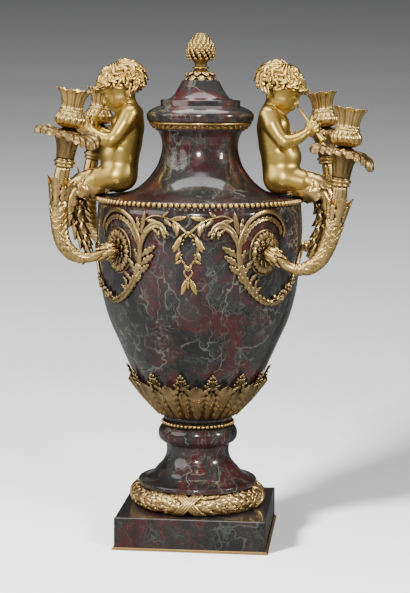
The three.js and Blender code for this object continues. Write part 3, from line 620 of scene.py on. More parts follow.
def gilt_material(name, bright, matte, wear, grain, tint, reach):
    tree, shader, place = new_material(name)
    # Ambient occlusion finds the hollows where the gilding pattern paints shade; reach says how far it looks.
    open_air = node(tree, "ShaderNodeAmbientOcclusion", {"Distance": reach * MM}, samples=8)
    inputs = {
        "Place": place,
        "Open": open_air.outputs["AO"],
        "Gold": (*(c * t for c, t in zip(looks().gold, tint)), 1),
        "Shade and wear": (*looks().gold_shade_and_wear, 1),
        "Wear": wear,
        "Matte": matte,
        "Bright": bright,
        "Grain": grain,
    }
    pattern = node(tree, "ShaderNodeGroup", inputs, node_tree=bpy.data.node_groups["Gilding pattern"])
    tree.links.new(pattern.outputs["Colour"], shader.inputs["Base Color"])
    tree.links.new(pattern.outputs["Roughness"], shader.inputs["Roughness"])
    inputs = {"Height": pattern.outputs["Height"], "Strength": GRAIN_STRENGTH, "Distance": GRAIN_HEIGHT * MM}
    raised = node(tree, "ShaderNodeBump", inputs)
    tree.links.new(raised.outputs["Normal"], shader.inputs["Normal"])
    shader.inputs["Metallic"].default_value = 1.0


# Sizes and colours that a user would change


def colour_property(name, words, value):
    return FloatVectorProperty(
        name=name, description=words, default=value, size=3, min=0, max=1, subtype="COLOR"
    )


class VaseSizes(bpy.types.PropertyGroup):
    shoulder_beads: IntProperty(
        name="Shoulder beads", description="Beads round the shoulder", default=112, min=12
    )
    collar_beads: IntProperty(
        name="Collar beads", description="Beads over the torus of the foot", default=52, min=12
    )
    cup_leaves: IntProperty(
        name="Cup leaves", description="Acanthus leaves round the lower body", default=14, min=6
    )
    pan_petals: IntProperty(name="Pan petals", description="Lobes of each drip pan", default=6, min=4)
    nozzle_gadroons: IntProperty(
        name="Nozzle gadroons", description="Gadroons of each nozzle", default=14, min=6
    )
    bronze_thickness: FloatProperty(
        name="Pan thickness",
        description="Thickness of the pans",
        default=1.8 * MM,
        min=0.5 * MM,
        unit="LENGTH",
    )


class VaseLooks(bpy.types.PropertyGroup):
    marble_ground: colour_property("Marble ground", "Darkest colour of the marble", (0.014, 0.014, 0.014))
    marble_cloud: colour_property("Marble clouds", "Greyer clouds in the marble", (0.045, 0.042, 0.039))
    marble_patch: colour_property("Marble patches", "Red patches in the marble", (0.085, 0.017, 0.017))
    marble_vein: colour_property("Marble veins", "Pale veins in the marble", (0.23, 0.245, 0.2))
    marble_gloss: FloatProperty(
        name="Marble gloss", description="Roughness of the polish", default=0.3, min=0, max=1
    )
    gold: colour_property("Gold", "Colour of the gilding", (0.82, 0.555, 0.175))
    # The colour of the painted shade in the gilding's hollows, and the brown its wear goes to.
    gold_shade_and_wear: colour_property(
        "Gold hollows", "Colour of the gilding in its hollows", (0.045, 0.029, 0.012)
    )
    floor: colour_property("Floor", "Colour of the floor", (0.8, 0.8, 0.8))


def sizes():
    return bpy.context.scene.vase_sizes


def looks():
    return bpy.context.scene.vase_looks


class VASE_OT_materials(bpy.types.Operator):
    """Make the marble and the gilding"""

    bl_idname = "vase.materials"
    bl_label = "Materials"

    def execute(self, context):
        marble_pattern()
        gilding_pattern()
        for name, values in MARBLES.items():
            marble_material(name, *values)
        for name, values in GILDINGS.items():
            gilt_material(name, *values)
        return {"FINISHED"}


# Stage. Places are in millimetres, angles in degrees.

CAMERA_PLACE = (239.7, -2376.6, 637.0)
CAMERA_HEADING, CAMERA_DIP, CAMERA_ROLL = 5.76, 7.15, 0.44
CAMERA_SENSOR, CAMERA_LENS, CAMERA_SHIFT = 36, 104.86, 0.0103

# Each lamp: where it is, what it points at, its width in metres, its watts, and what it lights
LAMPS = (
    ("key", (-2300, -1300, 1800), (0, 0, 350), 2.6, 58, "Vase light"),
    ("front", (80, -2450, 1450), (0, 0, 400), 0.36, 42, "Vase light"),
    ("side", (2250, -750, 1350), (0, 0, 350), 0.42, 38, "Vase light"),
    ("top", (0, 200, 2600), (0, 0, 0), 2.4, 90, "Vase light"),
    ("floor even", (0, 200, 2600), (0, 0, 0), 2.4, 16, "Floor light"),
    ("floor left", (-1700, -2250, 1800), (0, 0, 0), 0.6, 570, "Floor light"),
    ("floor right", (1900, -2000, 1800), (0, 0, 0), 0.6, 115, "Floor light"),
)
SKY, SKY_STRENGTH = (0.9, 0.95, 1, 1), 0.2

# Painted shade: the backdrop's colour falls off along its depth plus height, between the two ends below in
# metres, standing in for the light that dims up the sweep. Where the camera doesn't look at it directly it is
# dimmer, so that it lights the vase no more than grey paper would.
PAINTED_SHADE_START, PAINTED_SHADE_END = -0.6, 5.4
PAINTED_SHADE_RAMP = (
    (0.0, 1.0), (0.26, 1.0), (0.36, 0.89), (0.45, 0.72), (0.56, 0.4), (0.66, 0.18), (0.78, 0.085), (1.0, 0.03)
)
# The second value is a painted glow: light the backdrop gives off to the camera alone, though it is no lamp.
UNSEEN, PAINTED_GLOW = 0.14, 0.06


def area_light(name, place, target, size, power):
    data = bpy.data.lights.new(name, "AREA")
    data.shape, data.size, data.energy = "DISK", size, power
    made = bpy.data.objects.new(name, data)
    bpy.context.scene.collection.objects.link(made)
    back = unit(np.asarray(place, float) - np.asarray(target, float))
    right = unit(np.cross((0, 0, 1), back))
    above = np.cross(back, right)
    rows = [[right[k], above[k], back[k], place[k] * MM] for k in range(3)]
    made.matrix_world = Matrix(rows + [[0, 0, 0, 1]])
    return made


def camera():
    data = bpy.data.cameras.new("camera")
    data.sensor_width, data.lens, data.shift_x, data.clip_end = CAMERA_SENSOR, CAMERA_LENS, CAMERA_SHIFT, 50
    made = bpy.data.objects.new("camera", data)
    bpy.context.scene.collection.objects.link(made)
    turn = Matrix.Rotation(math.radians(CAMERA_HEADING), 4, "Z")
    dip = Matrix.Rotation(math.radians(90 - CAMERA_DIP), 4, "X")
    roll = Matrix.Rotation(math.radians(CAMERA_ROLL), 4, "Z")
    made.matrix_world = Matrix.Translation([c * MM for c in CAMERA_PLACE]) @ turn @ dip @ roll
    return made


def backdrop():
    """A floor that sweeps up into a wall behind the vase."""
    rise = np.linspace(0, 1, 60)
    sweep = np.column_stack([600 + 3000 * rise, 1400 * rise**3.2])
    line = np.vstack([[(-6000, 0), (-2000, 0)], sweep, [(3700, 4800)]])
    across = np.linspace(-7000, 7000, 25)
    sheet = np.stack(np.broadcast_arrays(across[None, :], line[:, :1], line[:, 1:]), -1)
    rows = np.arange(sheet.shape[0] * sheet.shape[1]).reshape(sheet.shape[:2])
    quads = np.stack([rows[:-1, :-1], rows[:-1, 1:], rows[1:, 1:], rows[1:, :-1]], -1).reshape(-1, 4)
    mesh = bpy.data.meshes.new("backdrop")
    mesh.from_pydata((sheet.reshape(-1, 3) * MM).tolist(), [], quads.tolist())
    for face in mesh.polygons:
        face.use_smooth = True
    made = bpy.data.objects.new("backdrop", mesh)
    bpy.context.scene.collection.objects.link(made)
    return made


def backdrop_material(shade):
    """Paper with painted shade that darkens it up the sweep, and a painted glow that the camera alone sees:
    its place is read as depth plus height.
    """
    tree, shader, place = new_material("Backdrop")
    spot = node(tree, "ShaderNodeSeparateXYZ", {0: place})
    far = reckon(tree, "ADD", spot.outputs["Y"], spot.outputs["Z"])
    inputs = {"Value": far, "From Min": PAINTED_SHADE_START, "From Max": PAINTED_SHADE_END}
    share = node(tree, "ShaderNodeMapRange", inputs).outputs["Result"]
    # Painted shade: the ramp darkens the paper up the sweep.
    painted_shade = node(tree, "ShaderNodeValToRGB", {"Fac": share})
    painted_shade.color_ramp.interpolation = "B_SPLINE"
    band = painted_shade.color_ramp.elements
    for spot_at, _ in PAINTED_SHADE_RAMP[1:-1]:
        band.new(spot_at)
    for element, (spot_at, value) in zip(band, PAINTED_SHADE_RAMP):
        element.position = spot_at
        element.color = (value, value, value, 1)
    colour = blend_colours(tree, 1.0, painted_shade.outputs["Color"], (*shade, 1), "MULTIPLY")
    seen = tree.nodes.new("ShaderNodeLightPath").outputs["Is Camera Ray"]
    dim = blend_colours(tree, 1.0, colour, (UNSEEN, UNSEEN, UNSEEN, 1), "MULTIPLY")
    tree.links.new(blend_colours(tree, seen, dim, colour), shader.inputs["Base Color"])
    tree.links.new(colour, shader.inputs["Emission Color"])
    # Painted glow, for the camera alone.
    tree.links.new(reckon(tree, "MULTIPLY", seen, PAINTED_GLOW), shader.inputs["Emission Strength"])
    shader.inputs["Roughness"].default_value = 0.9
    shader.inputs["Specular IOR Level"].default_value = 0.05


class VASE_OT_stage(bpy.types.Operator):
    """Make the floor, the lights and the camera"""

    bl_idname = "vase.stage"
    bl_label = "Stage"

    def execute(self, context):
        scene = context.scene
        wall = backdrop()
        backdrop_material(tuple(looks().floor))
        wall.data.materials.append(bpy.data.materials["Backdrop"])
        wall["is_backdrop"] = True
        world = bpy.data.worlds.new("Studio")
        world.use_nodes = True
        sky = world.node_tree.nodes["Background"].inputs
        sky["Color"].default_value, sky["Strength"].default_value = SKY, SKY_STRENGTH
        scene.world = world
        for name in ("Floor light", "Vase light"):
            bpy.data.collections.new(name).objects.link(wall)
        bpy.data.collections["Vase light"].collection_objects[0].light_linking.link_state = "EXCLUDE"
        for name, place, target, size, power, lit in LAMPS:
            lamp = area_light(name, place, target, size, power)
            lamp.light_linking.receiver_collection = bpy.data.collections[lit]
        scene.camera = camera()
        return {"FINISHED"}


# Plinth, foot, body, neck and lid

SQUARE = np.array([(-1, -1), (1, -1), (1, 1), (-1, 1)], float)
BEVEL = 0.8


class VASE_OT_plinth(bpy.types.Operator):
    """Make the marble plinth and its gilt rim"""

    bl_idname = "vase.plinth"
    bl_label = "Plinth"

    def execute(self, context):
        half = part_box("plinth")[1][0] / MM
        top = PLINTH_TOP
        edge = [(0, 0), (half, 0), (half, BEVEL), (half, top - BEVEL), (half - BEVEL, top), (0, top)]
        rows = []
        for reach, up in edge:
            ring = []
            cut = min(BEVEL, reach)
            for sx, sy in SQUARE:
                first, second = (reach, reach - cut), (reach - cut, reach)
                if sx * sy > 0:
                    first, second = second, first
                ring += [(sx * first[0], sy * first[1], up), (sx * second[0], sy * second[1], up)]
            rows.append(ring)
        cast = Cast()
        cast.shell([np.array(rows, float)], 0, (False, True))
        cast.piece("plinth_block", ["Marble of the plinth"], ["plinth"], "marble", smooth=False)

        low, high = (v[2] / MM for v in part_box("plinth_rim"))
        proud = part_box("plinth_rim")[1][0] / MM - half
        moulding = [(0.25, low), (proud, low), (proud, low + 0.9), (0.6 * proud, low + 1.4)]
        moulding += [(0.6 * proud, high - 1.0), (0.35 * proud, high), (0.25, high), (0.25, low)]
        rows = [np.column_stack([SQUARE * (half + out), np.full(4, up)]) for out, up in moulding]
        cast = Cast()
        cast.shell([np.stack(rows)], 0, (False, True))
        cast.piece("plinth_moulding", ["Gilt laurel"], ["plinth_rim"], smooth=False)
        return {"FINISHED"}


class VASE_OT_foot(bpy.types.Operator):
    """Make the turned marble foot, its laurel wreath and its beads"""

    bl_idname = "vase.foot"
    bl_label = "Foot"

    def execute(self, context):
        disc, disc_floor, disc_top = 83.0, 73.8, 80.8
        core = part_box("foot_wreath")[1][0] / MM - 30
        edge = [(disc - 0.6, disc_floor), (disc, disc_floor + 0.6)]
        edge += [(disc, disc_top - 0.9), (disc - 0.9, disc_top)]
        stem = smooth_line(
            [(disc - 1.6, disc_top + 0.2), (73, 82.4), (64, 88), (57.1, 96.1)]
            + [(49.4, 104.7), (45, 113.3), (43.7, 122), (44.6, 131)],
            6,
        )
        torus = [
            (FOOT_COLLAR + 10.1 * math.sin(a) ** 0.8, 145.6 - 11.8 * math.cos(a))
            for a in np.linspace(0.25, math.pi - 0.12, 18)
        ]
        bottom = [(0, PLINTH_TOP), (core, PLINTH_TOP), (core, disc_floor)]
        top = [(FOOT_COLLAR, 157.8), (FOOT_COLLAR, 166.6), (48.2, 167.2), (48.2, 171.4)]
        top += [(47.5, BODY_FLOOR - 0.2), (0, BODY_FLOOR - 0.2)]
        outline = [*bottom, *edge, *stem, *torus, *top]
        cast = Cast()
        turned(cast, outline, 120)
        cast.piece("foot_marble", ["Marble"], ["foot"], "marble")
        self.wreath()
        cast = Cast()
        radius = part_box("foot_beads")[1][0] / MM - 3.1
        bead_row(cast, sizes().collar_beads, radius, 161.4, 2.75, 12, (3, 159, 163.6), 96)
        cast.piece("foot_beads_ring", ["Gilt chased", "Gilt painted recess shade"], ["foot_beads"])
        return {"FINISHED"}

    def wreath(self):
        """Laurel leaves and berries over a roll, held by crossed ribbons at its four quarters."""
        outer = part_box("foot_wreath")[1][0] / MM
        wide, high = 13.2, 14.2
        middle, level = outer - wide - 1.2, PLINTH_TOP + 14.65
        cast = Cast()
        thin, thick = wide - 1.5, high - 1.5
        roll = [(middle + thin * math.cos(a), level + thick * math.sin(a)) for a in np.linspace(0, TURN, 25)]
        # The roll takes the second, darkened gilding, which paints the shade under the leaves.
        turned(cast, roll, 120, kind=1)
        rows, quarter = 7, 9
        gap = TURN / 8 / quarter

        def on_roll(turn, around, reach, climb):
            """Points at an angle round the vase and an angle up the roll's section."""
            return round_sheet(middle + reach * np.cos(around), turn, level + climb * np.sin(around))

        def place_on_roll(turn, around, heading, lift, aim):
            """Leaves run round the roll from turn, at an angle up its section, aimed a little off level."""
            c, s = math.cos(aim), math.sin(aim)

            def place(p):
                x, y = p[..., 0] * c + p[..., 1] * s, (p[..., 1] * c - p[..., 0] * s) * heading
                z = p[..., 2] + lift
                return on_roll(turn + y / outer, around + x / wide, wide - 2.6 + z, high - 2.6 + z)

            return place

        rng = np.random.default_rng(4)
        for quarter_turn in range(4):
            start = quarter_turn * TURN / 4 + math.radians(-92)
            for row in range(rows):
                around = math.radians(-70 + row * 31)
                for step in range(quarter):
                    for heading in (1, -1):
                        offset = (step + (0.5 if row % 2 else 0.0) + rng.uniform(-0.1, 0.1)) * gap + 0.06
                        size = rng.uniform(0.85, 1.1)
                        blade = leaf(22 * size, 12.5 * size, rise=2.2, curl=0.22, fine=(8, 5), root=0.3)
                        lean = around + rng.uniform(-0.15, 0.15)
                        aim = rng.uniform(0.2, 0.6) * (-1) ** (row + step)
                        turn, lift = start + heading * offset, rng.uniform(-0.9, 0.9)
                        set_leaf(cast, blade, place_on_roll(turn, lean, heading, lift, aim))
            step, heading = np.arange(22) % 11, np.repeat([1, -1], 11)
            spin = np.radians(-25 + 45 * (step % 3))
            turn = start + heading * (0.14 + step * TURN / 96)
            beads(cast, on_roll(turn, spin, wide + 0.2, high + 0.2), 1.9, 7)
            for lean in (1, -1):
                spin = np.linspace(math.radians(-75), math.radians(125), 30)
                for shift in (-0.066, -0.022, 0.022, 0.066):
                    turn = start + shift + lean * 0.13 * (spin - 0.35)
                    reach = wide - 0.3 + (0.5 if lean > 0 else 0)
                    line = Path(on_roll(turn, spin, reach, high - 0.6), 20, outward(start))
                    tube(cast, line, lambda s, a: 2.2, 7)
        cast.piece("foot_wreath_laurel", ["Gilt laurel", "Gilt painted recess shade"], ["foot_wreath"])


class VASE_OT_body(bpy.types.Operator):
    """Make the hollow marble body"""

    bl_idname = "vase.body"
    bl_label = "Body"

    def execute(self, context):
        inner = [(body_radius(z) - 13, z) for z in np.linspace(455, 206, 10)]
        cast = Cast()
        shoulder = [(LEDGE_RADIUS, LEDGE), (LEDGE_RADIUS, BODY_TOP - 0.15), (95, BODY_TOP - 0.15)]
        turned(cast, [(0, BODY_FLOOR), *body_line[::2], *shoulder, *inner, (0, 204)], 160)
        cast.piece("body_marble", ["Marble"], ["body"], "marble")
        return {"FINISHED"}


class VASE_OT_neck(bpy.types.Operator):
    """Make the marble neck and its gilt frieze"""

    bl_idname = "vase.neck"
    bl_label = "Neck"

    def execute(self, context):
        flare = smooth_line(
            [(LEDGE_RADIUS, BODY_TOP + 0.1), (131.3, 477.9), (118, 479.3), (103.7, 481.7), (91.2, 485.8)]
            + [(79.5, 493.9), (71.1, 502.2), (64.9, 510.5), (59.4, 518.8), (56.2, 527)]
            + [(53.8, 535.3), (52.4, 543.5), (52.7, 551.8), (54.6, 560), (58.2, 566.6)],
            3,
        )
        cast = Cast()
        inside = [(41.4, NECK_TOP - 0.2), (41.4, 518), (55, 492)]
        inside += [(73, BODY_TOP + 0.1), (LEDGE_RADIUS, BODY_TOP + 0.1)]
        turned(cast, [*flare, (62, 568.8), (62, NECK_TOP - 0.2), *inside], 120)
        cast.piece("neck_marble", ["Marble"], ["neck"], "marble")
        cast = Cast()
        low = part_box("neck_frieze")[0][2] / MM
        inner, outer = 63.1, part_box("neck_frieze")[1][0] / MM
        count = 40
        band = smooth_line(
            [(64.6, low + 2.6), (66.4, low + 4.4), (68.6, low + 6.2), (outer - 0.6, low + 7.4)], 3
        )
        edge = [(outer - 0.2, low + 7.8), (outer - 0.2, NECK_TOP), (inner, NECK_TOP), (inner, low + 1.4)]
        turned(cast, [(inner, low + 1.4), (64.6, low + 1.4), *band, *edge], 120)
        for i in range(count):
            angle = i / count * TURN
            out = outward(angle)
            blade = leaf(8.6, 8.2, lobes=3, depth=0.35, rise=1.0, thick=0.5, curl=0.2, fine=(10, 7), root=0.8)
            place = stand(
                out * (outer - 3.4) + [0, 0, low + 8.4], out * -0.55 + [0, 0, -1], out + [0, 0, -0.55]
            )
            set_leaf(cast, blade, place)
            beads(cast, [outward(angle + TURN / count / 2) * (outer - 3.0) + [0, 0, low + 5.2]], 1.1, 6)
        cast.piece("neck_frieze_leaves", ["Gilt chased"], ["neck_frieze"])
        return {"FINISHED"}


class VASE_OT_lid(bpy.types.Operator):
    """Make the marble lid"""

    bl_idname = "vase.lid"
    bl_label = "Lid"

    def execute(self, context):
        low, high = (v[2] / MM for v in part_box("lid"))
        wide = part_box("lid")[1][0] / MM
        rim = smooth_line(
            [(70.6, 579.9), (72.6, 581.6), (wide, 586.5), (73.4, 590.5)]
            + [(70.8, 594.2), (66, 597.2), (60.5, 599.8), (57.5, 601)],
            5,
        )
        cone = smooth_line(
            [(45, 610.3), (39.4, 613.2), (34.5, 619.3), (29.9, 627.1), (26.2, 634), (25, high)], 5
        )
        step = [(55.4, 601.4), (54.6, 602.2), (54.9, 608.6), (54.2, 609.6), (48, 610.1)]
        cast = Cast()
        turned(cast, [(0, low), (40.2, low), (40.2, 579.8), *rim, *step, *cone, (0, high)], 120)
        cast.piece("lid_marble", ["Marble"], ["lid"], "marble")
        return {"FINISHED"}


class VASE_OT_finial(bpy.types.Operator):
    """Make the finial: a collar of leaves and a pine cone"""

    bl_idname = "vase.finial"
    bl_label = "Finial"

    def execute(self, context):
        cast = Cast()
        cup = [(0, LID_TOP), (20, LID_TOP), (19, LID_TOP + 3), (12, LID_TOP + 7), (9.5, 648), (0, 648)]
        turned(cast, cup, 48)
        for ring, (count, length, width, reach, up, dip) in enumerate(
            ((9, 19, 14.5, 11.5, 645.5, -0.42), (9, 17, 12.5, 9.5, 648, -0.1))
        ):
            for i in range(count):
                out = outward((i + 0.5 * ring) / count * TURN)
                blade = leaf(
                    length, width, 3, 0.3, rise=1.6, thick=0.6, curl=-0.75, fine=(16, 9), full=0.55, root=0.5
                )
                place = stand(out * (reach - 3.5) + [0, 0, up], out + [0, 0, dip], out * -dip + [0, 0, 1])
                set_leaf(cast, blade, place)
        cast.trim(LID_TOP, math.inf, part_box("finial_collar")[1][0] / MM - 0.1)
        cast.piece("finial_leaves", ["Gilt chased"], ["finial_collar"])

        cast = Cast()
        bottom = 647.9
        core = smooth_line(
            [(9.6, bottom), (8.4, 653), (8.2, 658), (10, 662), (15.2, 666.5)]
            + [(18.2, 673), (18.3, 680), (15.6, 689), (9.6, 697.5), (3, 701.2)],
            5,
        )
        # The core takes the second, darkened gilding, which paints the shade under the scales.
        turned(cast, [(0, bottom), *core, (0, SUMMIT - 0.8)], 48, kind=1)
        turned(cast, [(0, 652.2), (10.8, 652.2), (11.4, 653.4), (10.8, 654.6), (0, 654.6)], 40)
        rows = 11
        for row in range(rows):
            share = (row + 0.5) / rows
            level = 664.5 + share * 35
            before, radius, after = np.interp((level - 1, level, level + 1), core[:, 1], core[:, 0])
            slope = (after - before) / 2
            count = max(5, int(round(radius * TURN / 7.4)))
            for i in range(count):
                out = outward((i + 0.5 * (row % 2)) / count * TURN)
                upward = unit(out * slope + [0, 0, 1])
                face = unit(out - upward * (out @ upward))
                scale = leaf(6.2, 6.6, rise=1.5, thick=1.0, curl=0.55, fine=(8, 5), root=0.5, full=0.5)
                set_leaf(cast, scale, stand(out * (radius - 0.9) + [0, 0, level - 2.4], upward, face))
        cast.trim(bottom - 0.2, SUMMIT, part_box("finial_cone")[1][0] / MM - 0.05)
        cast.piece("finial_pine_cone", ["Gilt chased", "Gilt painted recess shade"], ["finial_cone"])
        return {"FINISHED"}


class VASE_OT_shoulder_beads(bpy.types.Operator):
    """Make the row of beads round the shoulder"""

    bl_idname = "vase.shoulder_beads"
    bl_label = "Shoulder beads"

    def execute(self, context):
        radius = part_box("shoulder_beads")[1][0] / MM - 3.75
        cast = Cast()
        bead_row(cast, sizes().shoulder_beads, radius, 473.4, 3.45, 10, (3.2, 470.3, 476.3), 160)
        cast.piece("shoulder_bead_row", ["Gilt chased", "Gilt painted recess shade"], ["shoulder_beads"])
        return {"FINISHED"}


class VASE_OT_leaf_cup(bpy.types.Operator):
    """Make the cup of acanthus leaves under the body, with florets on stalks between them"""

    bl_idname = "vase.leaf_cup"
    bl_label = "Leaf cup"

    def execute(self, context):
        count = sizes().cup_leaves
        cast = Cast()
        low = 174.3
        skin = [(low, 0.6), (low, 1.5), (190, 1.6), (206, 1.5), (214, 0.6), (206, 0.3), (190, 0.3)]
        skin = [on_body(0, z, h) for z, h in [*skin, (low, 0.3), (low, 0.6)]]
        # The band under the leaves takes the second, darkened gilding, which paints the shade there.
        turned(cast, [(-p[1], p[2]) for p in skin], 112, kind=1)
        for i in range(count):
            angle = 4.5 + i * 360 / count
            between = angle + 180 / count
            for turn, length, width, lift in ((between, 46, 13, 0.6), (angle, 56, 19, 1.5)):
                bend = {"rise": 2.6, "thick": 0.8, "curl": 0.45, "cup": -1.8}
                blade = leaf(length, width, 6, 0.3, **bend, fine=(31, 13), full=0.66, root=0.55, veins=3)
                set_leaf(cast, blade, body_place(turn, low + 0.5, 90, lift))
                rib = ((1, 2.2), (0.4 * length, 4.0), (0.66 * length, 4.6), (0.86 * length, 5.6))
                rib = smooth_line([on_body(turn, low + z, h + lift - 1) for z, h in rib], 4)
                tube(cast, Path(rib, 14), lambda s, a: 1.3 - 0.8 * s, 6)
            for side in (-1, 1):
                blade = leaf(24, 8, 3, 0.5, rise=2.0, thick=0.7, curl=0.6, fine=(15, 7), root=0.5)
                set_leaf(cast, blade, body_place(angle + side * 3.4, 208, 90 - side * 27, 3.0))
            for lean, top in ((0, 241.5), (-1, 235), (1, 235)):
                stalk = [(0, 200, 1.6), (0.5, 220, 2.6), (1.9, top - 5, 2.4), (2.4, top, 2.6)]
                stalk = smooth_line([on_body(between + lean * d, z, h) for d, z, h in stalk], 4)
                tube(cast, Path(stalk, 12), lambda s, a: 1.3 - 0.3 * s, 6)
                for petal in range(3):
                    turn = 90 + (petal - 1) * 105 - lean * 30
                    blade = leaf(5.0, 4.2, rise=1.3, thick=0.8, curl=0.6, fine=(6, 5), root=0.5, full=0.6)
                    set_leaf(cast, blade, body_place(between + lean * 2.4, top - 1, turn, 3.0))
                beads(cast, [on_body(between + lean * 2.4, top, 4.0)], 1.8)
            for side in (-1, 1):
                blade = leaf(16, 7, 3, 0.4, rise=1.4, thick=0.6, curl=0.6, fine=(12, 5))
                set_leaf(cast, blade, body_place(between + side * 0.5, 219, 90 - side * 38, 2.4))
        cast.piece("leaf_cup_acanthus", ["Gilt shaded", "Gilt painted recess shade"], ["leaf_cup"])
        return {"FINISHED"}


# Mounts on the body. Places are [across, up] in millimetres from the middle of the front right rosette.

PER_DEGREE = math.radians(1) * float(body_radius(ROSETTE_LEVEL))


def mount_point(across, up, height):
    return on_body(ROSETTE_ANGLE + across / PER_DEGREE, ROSETTE_LEVEL + up, height)


def ribbon(cast, points, high, shift=0.0, columns=9, notches=0, groove=0.3, count=60, ribs=0):
    """A raised band through [across, up, half width] points. Notches cut its two edges like a leaf's, groove
    sinks its middle, and ribs ridge it lengthwise."""
    line = even_line(smooth_line(points, 10), count)
    along = unit(np.gradient(line[:, :2], axis=0))
    left = np.column_stack([-along[:, 1], along[:, 0]])
    v = np.linspace(-1, 1, columns)[None, :]
    share = np.linspace(0, 1, count)[:, None]
    tooth = np.abs(np.sin(math.pi * notches * share)) ** 0.7 if notches else 1.0
    half = line[:, 2:3] * (1 - 0.45 * (1 - tooth))
    flat = line[:, None, :2] + left[:, None, :] * (half * v)[..., None]
    flat = flat - along[:, None, :] * (np.abs(v) ** 1.5 * half * (0.5 if notches else 0))[..., None]
    size = high * np.minimum(1, line[:, 2:3] / (0.75 * line[:, 2].max()))
    rise = size * (np.sqrt(np.maximum(1 - v**2, 0)) * (1 - groove * np.exp(-((v / 0.3) ** 2))))
    rise = rise * (1 - 0.35 * (1 - tooth) * np.abs(v))
    if ribs:
        rise = rise * (0.62 + 0.38 * np.abs(np.cos(math.pi * ribs * v / 2 + 3 * share)) ** 0.7)
    ends = np.minimum(1, 12 * np.minimum(share, 1 - share) + 0.15)
    top = mount_point(flat[..., 0] + shift, flat[..., 1], 0.35 + rise * ends)
    caps = [np.repeat(top[k].mean(axis=0)[None, None], columns, axis=1) for k in (0, -1)]
    cast.shell([np.concatenate([caps[0], top, caps[1]])], 0, (False, True))


def mount_leaves(cast, lobes, curl, lift, *rows):
    """Leaves of one kind on the mounts: each row is across, up, aim, length and width."""
    fine = (max(9, lobes * 4 + 4), 7)
    for across, up, aim, length, width in rows:
        blade = leaf(length, width, lobes, rise=1.4, thick=0.8, curl=curl, fine=fine, root=0.35)
        set_leaf(cast, blade, body_place(ROSETTE_ANGLE + across / PER_DEGREE, ROSETTE_LEVEL + up, aim, lift))


